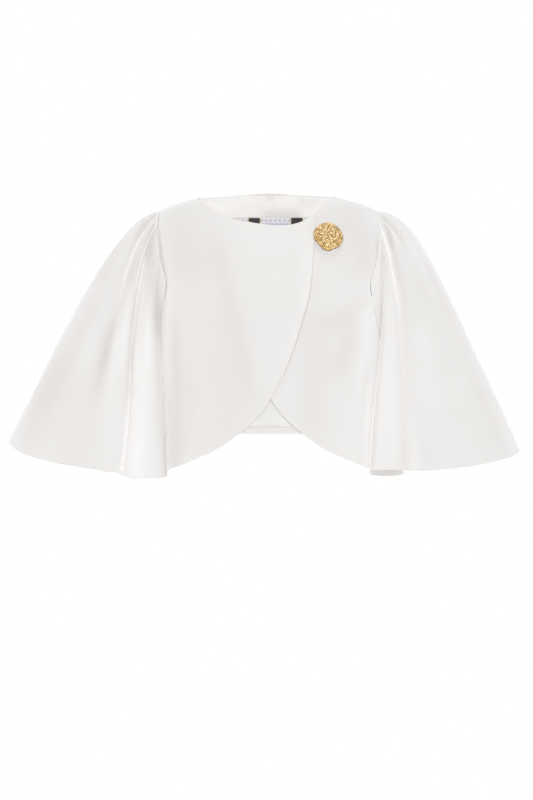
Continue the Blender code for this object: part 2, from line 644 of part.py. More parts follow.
def station_numbers(stations, count):
    """Positions round the stations, in station numbers, evenly spaced by armhole and hem together."""
    rows = np.array([row[1:4] for row in stations])
    last = len(rows)
    fine_at = np.linspace(0, last, last * 30 + 1)
    fine = curve_through(rows, fine_at[:-1], closed=True)
    fine = np.concatenate([fine, fine[:1]])
    run = np.concatenate([[0.0], np.cumsum(np.linalg.norm(np.diff(fine, axis=0), axis=1))])
    share = np.interp(fine_at, np.arange(last + 1), [row[0] for row in stations] + [1.0])
    pace = run / run[-1] + ARMHOLE_PACE * share
    return np.interp(np.linspace(0, pace[-1], count + 1)[:-1], pace, fine_at)


def meet_corners(shares, corners):
    """Moves the nearest of the shares onto each corner, so that both polygons have the same corners."""
    shares = shares.copy()
    for corner in corners[:-1]:
        gap = np.abs((shares - corner + 0.5) % 1.0 - 0.5)
        shares[np.argmin(gap)] = corner
    return shares


def sleeve_piece(name, side, stations, count=SLEEVE_ROUND, down=SLEEVE_DOWN, high=PANEL_HIGH):
    """Outer points and normals of a sleeve: one ring for each row, from the armhole to the hem."""
    at = station_numbers(stations, count)
    table = np.array(stations)
    unwrapped = np.concatenate([table[:, 0], [1.0]])
    corner_points, corner_normals, corner_shares = armhole_ring(side, high)
    share = meet_corners(np.interp(at, np.arange(len(unwrapped)), unwrapped), corner_shares)
    rest = curve_through(table[:, 1:], at, closed=True)
    out, back, height, lift_out, lift_back, lift_up, fall_out, fall_back, swell = rest.T
    flip = np.array([side, 1.0, 1.0])
    start = np.stack([np.interp(share, corner_shares, corner_points[:, k]) for k in range(3)], axis=-1)
    cloth = np.stack([np.interp(share, corner_shares, corner_normals[:, k]) for k in range(3)], axis=-1)
    cloth = unit(cloth)
    hem = np.stack([out, back, height], axis=-1) * flip
    lift = np.stack([lift_out, lift_back, lift_up], axis=-1) * flip
    fall = np.stack([fall_out, fall_back, np.full_like(out, -0.41)], axis=-1) * flip

    heading = unit(np.roll(start, -1, axis=0) - np.roll(start, 1, axis=0))
    away = side * unit(np.cross(cloth, heading))
    lean = np.clip(np.arctan2((lift * cloth).sum(-1), (lift * away).sum(-1)), 0.0, math.pi)[:, None]
    start = start + SEAM_GAP * (0.7 * away + 2.5 * smooth(lean / math.pi) * cloth)

    t = np.linspace(0, 1, down + 1) ** 1.15
    t = t[:, None, None]
    points = (
        (2 * t**3 - 3 * t**2 + 1) * start
        + (t**3 - 2 * t**2 + t) * lift
        + (3 * t**2 - 2 * t**3) * hem
        + (t**3 - t**2) * fall
        + 16 * t**2 * (1 - t) ** 2 * swell[:, None] * (side, 0.0, 0.0)
    )
    normals = ring_normals(points, side)
    normals[0] = np.cos(lean) * cloth - np.sin(lean) * away
    crease = np.zeros(points.shape[:2])
    v = t[:, :, 0]
    for *path, begin, end, depth, half_width in SLEEVE_CREASES[name]:
        centre = np.interp(v, CREASE_STOPS, path)
        away_from = (share[None] - centre + 0.5) % 1.0 - 0.5
        fade = smooth((v - begin) / 0.05) * (1 - smooth((v - 0.4 * end) / (0.6 * end)))
        crease += depth * np.exp(-((away_from / half_width) ** 2)) * fade
    return points - normals * crease[..., None], normals


def ring_normals(points, side):
    """Outward normals of a tube of rings."""
    round_it = np.roll(points, -1, axis=1) - np.roll(points, 1, axis=1)
    down_it = np.gradient(points, axis=0)
    normals = np.cross(round_it, down_it) * side
    return normals / np.maximum(np.linalg.norm(normals, axis=-1, keepdims=True), 1e-12)


def petal_radius(angle):
    """The button's outline: a rosette of rounded petals, no two quite alike."""
    turns, reach = np.array(BUTTON_OUTLINE).T
    turns = np.radians(np.concatenate([turns - 360, turns, turns + 360]))
    return cubic_through(turns, np.tile(reach, 3), angle)


def button_height(angle, share):
    """How high the button's face stands over its back, over the share of the way to its rim."""
    dome = 0.55 + 0.45 * np.sqrt(np.maximum(1 - share**2.2, 0.0))
    outer = np.abs(np.cos(BUTTON_PETALS * (angle - BUTTON_TURN) / 2)) ** 0.8
    inner = np.abs(np.cos((BUTTON_PETALS - 1) * (angle + 0.5) / 2)) ** 0.8
    tier = smooth((share - 0.46) / 0.10)
    petals = 0.16 * tier * (outer - 0.7) * smooth((1.06 - share) / 0.3)
    heart = 0.20 * (1 - tier) * (inner - 0.5) * smooth(share / 0.22)
    step = 0.12 * (1 - smooth((share - 0.42) / 0.10))
    return BUTTON_THICK * np.maximum(dome + petals + heart + step, 0.25)


def button_place():
    """The point of the form over the button's middle, how far below it the left front lies there, and the
    button's three directions."""
    grid = np.array([[turn_of(BUTTON_X, BUTTON_Z), BUTTON_Z]])
    form, normals = torso(grid[:, 0], grid[:, 1], -1)
    cloth, _ = bodice_points(grid, -1, FRONT_FOLDS, underlap(grid))
    facing = normals[0]
    across = unit(np.cross([0.0, 0.0, 1.0], facing))
    return form[0], float((form[0] - cloth[0]) @ facing), facing, across, np.cross(facing, across)


def add_button(holder, spokes=42, rings=8):
    """The button: a domed rosette with a flat back, on a round shank that stands on the left front."""
    middle, sunk, facing, across, upward = button_place()
    foot = 3 * SEAM_GAP - sunk
    angle = np.linspace(0, 2 * math.pi, spokes, endpoint=False)
    share = np.linspace(0, 1, rings + 1)[1:] ** 0.9
    base = 0.0022
    rows = []
    for s in share[::-1]:
        rows.append((petal_radius(angle) * s, base + button_height(angle, s)))
    rim = [(petal_radius(angle) * s, np.full(spokes, base + z)) for s, z in ((0.985, 0.0006), (0.93, 0.0))]
    shank = [(np.full(spokes, SHANK_RADIUS), np.full(spokes, z)) for z in (base, foot)]
    ordered = rows[::-1] + rim + shank
    points = []
    for radius, height in ordered:
        flat = np.cos(angle)[:, None] * across + np.sin(angle)[:, None] * upward
        points.append(middle + flat * radius[:, None] + facing * height[:, None])
    points = np.concatenate(points)
    top = middle + facing * (base + float(button_height(np.array([0.0]), 0.0)[0]))
    bottom = middle + facing * foot
    count = len(ordered)
    faces = []
    for row in range(count - 1):
        for k in range(spokes):
            a, b = row * spokes + k, row * spokes + (k + 1) % spokes
            faces.append((a, a + spokes, b + spokes, b))
    top_index, bottom_index = len(points), len(points) + 1
    last = (count - 1) * spokes
    for k in range(spokes):
        after = (k + 1) % spokes
        faces.append((top_index, k, after))
        faces.append((bottom_index, last + after, last + k))
    return add_object("button", np.concatenate([points, [top], [bottom]]), faces, GOLD, holder)


def clear_scene():
    """Takes away what the scene starts with."""
    for old in list(bpy.data.objects):
        bpy.data.objects.remove(old, do_unlink=True)


def main():
    clear_scene()
    jacket = bpy.data.objects.new("jacket", None)
    bpy.context.scene.collection.objects.link(jacket)

    add_wall("back", *back_piece(), SHELL, CREPE, jacket)
    add_wall("front_right", *front_piece(-1), SHELL, CREPE, jacket)
    add_wall("front_left", *front_piece(1), SHELL, CREPE, jacket)
    for name, side, stations in (("sleeve_right", -1, RIGHT_SLEEVE), ("sleeve_left", 1, LEFT_SLEEVE)):
        add_wall(name, *sleeve_piece(name, side, stations), SHELL, CREPE, jacket, closed=True)
    facing_part = inside_back(slice(-1 - FACING_ROWS, None), slice(3, -3))
    add_wall("back_neck_facing", *facing_part, FACING, CREPE, jacket)
    add_wall("back_lining", *inside_back(slice(1, -FACING_ROWS)), FACING, LINING, jacket)
    add_wall("back_hem_turn", *inside_back(slice(0, 2)), FACING, CREPE, jacket)
    add_wall("neck_label", *label_piece(), LABEL_CLOTH, BLACK, jacket)
    add_button(jacket)


main()
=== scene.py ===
"""The looks of a cropped bolero jacket: fine cloth shells over its solids' forms, with folds, pleats and
seams, a gold rosette button and a label without lettering, in a white studio."""

import math

import bpy
import numpy as np
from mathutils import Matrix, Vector


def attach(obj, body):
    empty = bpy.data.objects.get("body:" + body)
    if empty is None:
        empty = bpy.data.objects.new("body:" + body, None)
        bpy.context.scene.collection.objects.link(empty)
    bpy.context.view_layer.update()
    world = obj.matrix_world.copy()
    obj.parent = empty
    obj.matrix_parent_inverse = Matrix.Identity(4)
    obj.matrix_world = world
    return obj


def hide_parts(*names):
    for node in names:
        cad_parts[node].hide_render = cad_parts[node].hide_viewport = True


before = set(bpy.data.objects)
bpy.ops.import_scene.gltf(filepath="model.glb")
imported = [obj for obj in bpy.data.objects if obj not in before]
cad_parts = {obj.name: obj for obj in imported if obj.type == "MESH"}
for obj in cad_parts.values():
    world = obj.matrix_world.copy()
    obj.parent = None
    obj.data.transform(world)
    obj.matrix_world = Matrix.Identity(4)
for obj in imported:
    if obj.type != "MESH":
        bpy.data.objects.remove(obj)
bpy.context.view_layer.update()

# Cloth
SHELL = 0.0018  # crepe and its interfacing, as one wall
FACING = 0.001
LABEL_CLOTH = 0.0008
SEAM_GAP = 0.0003
LAYER_GAP = 0.0005

# Landmarks of the bodice
SHOULDER_TIP_Z = -0.0121
NECK_POINT_Z = {-1: 0.0108, 1: 0.0129}  # on the wearer's right and left
UNDERARM_Z = -0.172
SIDE_HEM_Z = -0.446
BACK_NECK_Z = 0.0245
BACK_HEM_Z = -0.383
BACK_HEM_FLAT = 0.06  # half the level stretch at the middle of the back hem
FRONTS_CROSS_X = 0.0037  # the fronts' outlines mirror each other about this line
FRONT_POWER, BACK_POWER = 2.5, 2.4  # how square the level sections are: 2 is an oval

# Level sections of the bodice: height, half width, depth of front, depth of back
SECTIONS = (
    (-0.46, 0.1935, 0.1205, 0.1125),
    (-0.38, 0.192, 0.123, 0.111),
    (-0.3, 0.191, 0.126, 0.108),
    (-0.235, 0.1885, 0.129, 0.1075),
    (-0.19, 0.1835, 0.129, 0.11),
    (-0.172, 0.181, 0.127, 0.111),
    (-0.15, 0.185, 0.123, 0.1115),
    (-0.1275, 0.193, 0.117, 0.1105),
    (-0.087, 0.203, 0.1035, 0.106),
    (-0.05, 0.198, 0.085, 0.0985),
    (-0.03, 0.192, 0.074, 0.093),
    (-0.0121, 0.1787, 0.063, 0.087),
    (0.011, 0.113, 0.047, 0.077),
    (0.0245, 0.076, 0.037, 0.07),
    (0.045, 0.02, 0.02, 0.056),
)

# Armhole seen from the front, from the shoulder tip down: distance out, height
ARMHOLE = (
    (0.1787, -0.0121),
    (0.1812, -0.03),
    (0.1815, -0.05),
    (0.179, -0.087),
    (0.1735, -0.107),
    (0.1675, -0.1275),
    (0.166, -0.143),
    (0.1705, -0.16),
    (0.181, -0.172),
)
BACK_ARMHOLE_WIDER = 0.003

# Front neckline, from the wearer's right neck point: x, height
NECKLINE = (
    (-0.1136, 0.0108),
    (-0.1125, 0.0045),
    (-0.1043, -0.0035),
    (-0.0938, -0.0119),
    (-0.0817, -0.0199),
    (-0.0664, -0.0273),
    (-0.05, -0.0322),
    (-0.032, -0.035),
    (-0.0215, -0.0372),
    (0.0018, -0.0401),
    (0.0184, -0.0415),
    (0.0382, -0.0394),
    (0.0549, -0.034),
    (0.0632, -0.0288),
    (0.0726, -0.0199),
    (0.0835, -0.0112),
    (0.0945, 0.0),
    (0.1076, 0.0129),
)

# Free edge of the right front, from the neckline down to the side hem: x, height
FRONT_EDGE = (
    (0.0775, -0.022),
    (0.0745, -0.06),
    (0.0705, -0.13),
    (0.0626, -0.1743),
    (0.0353, -0.2609),
    (0.0037, -0.324),
    (-0.0273, -0.3622),
    (-0.0711, -0.3967),
    (-0.1043, -0.4146),
    (-0.1604, -0.4375),
    (-0.1932, -0.446),
)
EDGE_CORNER = 6  # row of FRONT_EDGE where the front edge becomes the hem
EDGE_LOW_SHARE = 0.52  # share of the free edge that lies beside the side seam, below the armhole
# Share of a front's and of half the back's columns that lie on the shoulder seam
SHOULDER_SHARE = {-1: 0.28, 1: 0.34}

# The left front lies under the right one
UNDERLAP_STEP = 0.0036
UNDERLAP_FROM, UNDERLAP_TO = 0.082, 0.135

# Soft troughs and ridges of the bodice: x and height of both ends, depth inwards, half width
FOLD_REACH = 0.3  # how far a fold fades in and out about each end, as a share of its length
FRONT_FOLDS = (
    (-0.15, -0.03, -0.105, -0.15, 0.0035, 0.024),
    (-0.072, -0.07, -0.02, -0.32, -0.003, 0.026),
    (-0.128, -0.2, -0.1, -0.4, 0.0025, 0.022),
    (-0.15, -0.15, -0.148, -0.3, -0.0025, 0.02),
    (0.15, -0.04, 0.135, -0.11, 0.003, 0.02),
    (0.126, -0.18, 0.105, -0.39, 0.0028, 0.022),
    (0.146, -0.21, 0.15, -0.4, -0.0025, 0.018),
)
BACK_FOLDS = (
    (-0.14, -0.05, -0.085, -0.2, 0.0035, 0.026),
    (0.14, -0.05, 0.09, -0.19, 0.003, 0.026),
    (-0.06, -0.18, -0.075, -0.36, -0.003, 0.024),
    (0.05, -0.2, 0.062, -0.36, -0.0028, 0.024),
    (-0.005, -0.06, 0.003, -0.33, 0.0022, 0.03),
)

# Facing, lining, turned hem and label inside the back
FACING_DEPTH = 0.038
FACING_ROWS = 14
FACING_SHARE = 0.8  # share of the back armhole that lies below the facing's rows
HEM_TURN = 0.011
HEM_ROWS = 7
LABEL_WIDTH, LABEL_DROP, LABEL_X = 0.112, 0.042, 0.006

# Stations round a sleeve. share: how far round the armhole, from the tip over the front. out, back, height:
# where the hem passes. lift_*: the cloth's heading as it leaves the armhole. fall_*: its heading at the hem.
# swell: how much further out it passes half-way.
# share, out, back, height, lift_out, lift_back, lift_up, fall_out, fall_back, swell
RIGHT_SLEEVE = (
    (0.0, 0.432, 0.0, -0.396, 0.222, 0.0, 0.0, 0.211, 0.0, 0.0),
    (0.026, 0.404, -0.044, -0.4122, 0.22, -0.05, -0.03, 0.192, -0.02, 0.0),
    (0.052, 0.345, -0.082, -0.4268, 0.224, -0.09, -0.1, 0.15, -0.03, 0.0),
    (0.08, 0.285, -0.105, -0.4362, 0.2, -0.11, -0.2, 0.11, -0.03, 0.0),
    (0.1, 0.247, -0.113, -0.442, 0.18, -0.12, -0.28, 0.08, -0.03, 0.0),
    (0.115, 0.2345, -0.101, -0.4385, 0.17, -0.11, -0.3, 0.07, -0.02, 0.0),
    (0.132, 0.243, -0.085, -0.4395, 0.16, -0.07, -0.3, 0.07, -0.01, 0.0),
    (0.152, 0.245, -0.071, -0.443, 0.13, -0.02, -0.3, 0.07, 0.0, 0.0),
    (0.185, 0.226, -0.081, -0.4515, 0.08, -0.02, -0.3, 0.06, 0.0, 0.0),
    (0.225, 0.199, -0.096, -0.4515, 0.055, -0.03, -0.3, 0.03, -0.01, 0.0),
    (0.254, 0.177, -0.101, -0.451, 0.048, -0.025, -0.3, 0.01, -0.015, 0.0),
    (0.28, 0.1655, -0.096, -0.449, 0.046, -0.015, -0.3, 0.0, -0.02, 0.0),
    (0.308, 0.1655, -0.086, -0.448, 0.048, 0.0, -0.3, 0.0, -0.02, 0.0),
    (0.345, 0.178, -0.072, -0.4475, 0.05, 0.01, -0.3, 0.0, -0.015, 0.0),
    (0.4, 0.1955, -0.044, -0.448, 0.055, 0.0, -0.28, 0.01, -0.01, 0.0),
    (0.5, 0.205, 0.0, -0.448, 0.065, 0.0, -0.28, 0.02, 0.0, 0.0),
    (0.6, 0.202, 0.043, -0.447, 0.065, 0.01, -0.28, 0.01, 0.01, 0.0),
    (0.675, 0.1985, 0.082, -0.445, 0.055, 0.03, -0.3, 0.01, 0.02, 0.0),
    (0.735, 0.222, 0.113, -0.442, 0.06, 0.06, -0.3, 0.04, 0.03, 0.0),
    (0.79, 0.26, 0.103, -0.438, 0.1, 0.08, -0.28, 0.08, 0.01, 0.0),
    (0.845, 0.303, 0.114, -0.431, 0.15, 0.1, -0.2, 0.12, 0.03, 0.0),
    (0.9, 0.356, 0.085, -0.4215, 0.2, 0.09, -0.1, 0.16, 0.03, 0.0),
    (0.955, 0.406, 0.046, -0.41, 0.214, 0.05, -0.04, 0.192, 0.02, 0.0),
)
LEFT_SLEEVE = (
    (0.0, 0.4165, 0.0, -0.4085, 0.32, 0.0, 0.0, 0.17, 0.0, -0.015),
    (0.016, 0.405, -0.024, -0.4165, 0.315, -0.03, -0.01, 0.17, -0.01, -0.015),
    (0.03, 0.383, -0.036, -0.423, 0.285, -0.05, -0.04, 0.16, -0.01, -0.012),
    (0.046, 0.34, -0.067, -0.431, 0.245, -0.09, -0.09, 0.14, -0.02, -0.006),
    (0.062, 0.288, -0.087, -0.4365, 0.19, -0.1, -0.16, 0.11, -0.02, 0.0),
    (0.078, 0.246, -0.093, -0.439, 0.15, -0.09, -0.24, 0.08, -0.01, 0.0),
    (0.1, 0.215, -0.112, -0.438, 0.11, -0.12, -0.28, 0.03, -0.02, 0.0),
    (0.125, 0.172, -0.114, -0.4385, 0.08, -0.11, -0.3, 0.0, -0.02, 0.0),
    (0.152, 0.1622, -0.101, -0.444, 0.07, -0.08, -0.3, 0.0, -0.02, 0.0),
    (0.182, 0.176, -0.087, -0.4475, 0.08, -0.03, -0.3, 0.02, -0.01, 0.0),
    (0.225, 0.206, -0.072, -0.4485, 0.085, 0.05, -0.3, 0.05, 0.0, 0.0),
    (0.29, 0.22, -0.05, -0.4455, 0.065, 0.01, -0.3, 0.06, 0.0, 0.0),
    (0.365, 0.209, -0.032, -0.444, 0.052, -0.03, -0.29, 0.04, 0.0, 0.0),
    (0.43, 0.204, -0.012, -0.4485, 0.06, -0.01, -0.28, 0.02, 0.0, 0.0),
    (0.5, 0.205, 0.014, -0.448, 0.065, 0.0, -0.28, 0.02, 0.0, 0.0),
    (0.6, 0.202, 0.048, -0.447, 0.065, 0.01, -0.28, 0.01, 0.01, 0.0),
    (0.675, 0.2005, 0.084, -0.445, 0.055, 0.03, -0.3, 0.01, 0.02, 0.0),
    (0.735, 0.224, 0.111, -0.442, 0.06, 0.06, -0.3, 0.04, 0.03, 0.0),
    (0.79, 0.26, 0.1, -0.439, 0.1, 0.08, -0.28, 0.08, 0.01, 0.0),
    (0.845, 0.3, 0.112, -0.4345, 0.15, 0.1, -0.2, 0.11, 0.03, 0.0),
    (0.9, 0.348, 0.084, -0.428, 0.225, 0.09, -0.1, 0.14, 0.03, -0.004),
    (0.955, 0.395, 0.046, -0.418, 0.29, 0.05, -0.04, 0.16, 0.02, -0.01),
)

# Pleats and soft creases of a sleeve: station share at the armhole, a fifth of the way down, half-way and at
# the hem, where down the sleeve it starts and ends, depth inwards, half width in station share
SLEEVE_CREASES = {
    "sleeve_right": (
        (0.018, 0.016, 0.02, 0.022, 0.0, 0.2, 0.0045, 0.007),
        (0.036, 0.056, 0.066, 0.072, 0.0, 0.9, 0.0085, 0.011),
        (0.083, 0.092, 0.106, 0.116, 0.0, 0.55, 0.005, 0.008),
        (0.9, 0.895, 0.892, 0.89, 0.0, 0.3, 0.005, 0.014),
        (0.95, 0.948, 0.946, 0.945, 0.0, 0.22, 0.0045, 0.01),
    ),
    "sleeve_left": (
        (0.018, 0.016, 0.015, 0.014, 0.0, 0.16, 0.0045, 0.007),
        (0.046, 0.052, 0.056, 0.06, 0.0, 0.3, 0.007, 0.008),
        (0.086, 0.084, 0.08, 0.078, 0.0, 0.5, 0.0045, 0.009),
        (0.9, 0.895, 0.892, 0.89, 0.0, 0.3, 0.005, 0.014),
        (0.95, 0.948, 0.946, 0.945, 0.0, 0.22, 0.0045, 0.01),
    ),
}
CREASE_STOPS = (0.0, 0.2, 0.5, 1.0)
CREASE_START = 0.05  # share of the sleeve's length over which a crease sets in
CREASE_HOLD = 0.4  # share of the way to its end where it starts to fade

# Button, on the left front beside the right front's edge
BUTTON_X, BUTTON_Z = 0.0958, -0.0622
BUTTON_THICK = 0.008
BUTTON_BASE = 0.0022  # height of its back over the form
BUTTON_TURN = math.radians(20)
SHANK_RADIUS = 0.005
BUTTON_CORE = 0.004  # the innermost ring's share of the reach
SHANK_CORE = 0.1  # the same for the shank's foot
# Dome: its foot and rise in shares of BUTTON_THICK and how square it is, then in shares of the reach where
# it ends, how far that waves and over what width
DOME_FOOT, DOME_RISE, DOME_POWER = 0.42, 0.4, 2.4
DOME_END, DOME_WAVE, DOME_BLEND = 0.7, 0.12, 0.05
# Crumpled leaves on it and smaller ones all over: how many, the seed of their random draws, their rise
LEAVES, LEAF_SEED, LEAF_RISE, LEAF_SINK = 90, 5, 0.12, 0.06
BUDS, BUD_SEED, BUD_RISE, RING_BUD_RISE = 420, 9, 0.09, 0.08
# Petals in the ring: how many, how uneven, their rise, its power, its start and width, the gaps' depth
PETAL_RING = 7
PETAL_UNEVEN, PETAL_PHASE = 1.3, 0.6
PETAL_RISE, PETAL_POWER, PETAL_START, PETAL_BLEND, PETAL_GAP = 0.06, 0.6, 0.62, 0.12, 0.05
BUTTON_TOP = 1.16  # the highest that the relief may stand
# How bright the gold's painted light and shade are: on the leaves and buds of the dome, in the ring at rest,
# on its petals and buds, on the rim, and how much brighter the painted light makes it to the upper right
LEAF_TONE, BUD_TONE = 0.55, 0.5
RING_TONE, PETAL_TONE, RING_BUD_TONE = 0.16, 0.18, 0.45
RIM_TONE, UPPER_RIGHT_PAINTED_LIGHT = 0.25, 0.05
# Rings down its rim: shares of the reach and of the rim's height
BUTTON_RIM = ((1.0, 0.7), (0.995, 0.4), (0.97, 0.15), (0.93, 0.0))
# A leaf: how far out the last one's middle lies, how far the middles sway in turn and stray, the width and
# power of its edge, the height of its middle, its tilt and its highest point
LEAF_REACH, LEAF_SWAY, LEAF_STRAY = 1.02, 0.15, 0.25
EDGE_WIDTH, EDGE_POWER = 0.9, 0.7
LEAF_MIDDLE, LEAF_TILT, LEAF_TOP = 0.72, 0.42, 1.2
GOLDEN_TURN = math.pi * (3 - math.sqrt(5))

# Grid steps: a whole number of times the solids' steps, so that both keep to the same lines
FRONT_ACROSS, BACK_ACROSS, PANEL_LOW, PANEL_HIGH = 96, 65, 56, 84
FACING_SKIP = 15
SLEEVE_ROUND = 320
SLEEVE_ROWS = (0.0, 21, 0.1, 83, 0.965, 17, 1.0)  # shares of a sleeve's length and the steps between
CURVE_STEPS = 24  # points on each span of an outline
FINE_SHARES = np.linspace(0, 1, 200)  # to measure an outline by
STATION_STEPS = 30  # points between two stations of a sleeve, to measure its hem by
TOP_FADE = 5  # power by which the top outline's shape dies away down a bodice piece
ARMHOLE_PACE = 0.9  # weight of the armhole against the hem in a sleeve's columns

# Sleeves: the cloth's upward heading at the hem, and how it leaves the armhole, in seam gaps: on from the
# bodice's edge, and at most this much out from its surface
SLEEVE_FALL_UP = -0.41
LEAVE_AWAY, LEAVE_LIFT = 0.7, 2.5
NECK_CURVE = 0.8  # power of the back neckline's curve
BACK_WAIST_UP = 0.01  # how far above the underarm the row from there crosses the middle of the back
FORM_STEP = 0.0005  # height over which the form's slope is measured

# Rims of a shell: how far they bulge out, in thicknesses, and the steps round them
RIM_BULGE = 0.2
RIM_STEPS = 3

# The button's outline: degrees and reach
ROSETTE = (
    (0, 0.0246),
    (26, 0.024),
    (59, 0.025),
    (92, 0.0254),
    (116, 0.0244),
    (157, 0.0248),
    (172, 0.0243),
    (197, 0.0236),
    (214, 0.0222),
    (233, 0.0238),
    (248, 0.0262),
    (269, 0.0272),
    (288, 0.0246),
    (310, 0.0252),
    (332, 0.0252),
    (350, 0.0247),
)

# Label: two black blocks with gold lines beside them. x midway between them, each one's distance out and
# half width, and the lines' half width
BLOCK_X, BLOCK_OUT, BLOCK_HALF, LINE_HALF = 0.012, 0.036, 0.0098, 0.0006
LABEL_WHITE, LABEL_BLACK, LABEL_GOLD = (0.72, 0.71, 0.8), (0.012, 0.011, 0.014), (0.45, 0.33, 0.16)
# Rows of small diamonds on it: pitch, height, half width, colour
LABEL_MARKS = (
    (0.0078, -0.0205, 0.0015, (0.55, 0.42, 0.2)),
    (0.0031, -0.0262, 0.0009, (0.12, 0.12, 0.22)),
)
MARK_SQUASH = 0.6  # a diamond's width over its height

# Tones of the cloth, pale and shaded in random clouds, and the painted shade colour that creases and edges
# lean to
CREPE_TONES = ((0.825, 0.825, 0.825), (0.815, 0.813, 0.808))
# The facing's tones are a brighter copy of the cloth's, painting light onto the cloth inside the back
FACING_PAINTED_LIT_TONES = ((0.995, 0.985, 0.97), (0.985, 0.975, 0.955))
PAINTED_SHADE_COLOUR = (0.42, 0.37, 0.33)
# Tones of the satin over its soft noise, and of the gold from painted shade and dark reflections in its
# recesses up to painted highlights: each a place and a colour
SATIN_TONES = ((0.3, (0.7, 0.69, 0.665)), (0.7, (0.735, 0.725, 0.7)))
GOLD_TONES = ((0.05, (0.12, 0.065, 0.02)), (0.45, (0.42, 0.28, 0.12)), (0.92, (0.85, 0.72, 0.48)))
GOLD_GRAIN = 0.5  # how far the grain moves the gold's tone

# How far the cloth leans from the painted shade colour to its own: at rest, less per metre of a crease's
# depth (painted shade in the creases), on the right front's free edge (a painted shadow line), at a sleeve's
# hem (a painted dark line of shade), on the back's turned hem (painted shade) and on the facing
TONE_REST, TONE_CREASE, TONE_EDGE_SHADOW = 0.8, 14.0, 0.32
TONE_HEM, TONE_TURN, TONE_FACING = 0.5, 0.66, 0.85
# Inside the sleeves: how much darker, from which height down, and over what height that sets in
INSIDE_SHADE, INSIDE_TOP, INSIDE_TURN = 0.25, -0.405, 0.03
CROSSING_Z = -0.325  # height where the right front's edge leaves the left front
# How flat a shade's middle is, the share of its length that each end fades over, and the spread of the
# normals' y over which a shade fades out towards what faces back
SHADE_POWER, SHADE_FADE, SHADE_LEAN = 2.3, 0.3, 0.3
FAR_OFF = 9.0  # further than any point of the jacket
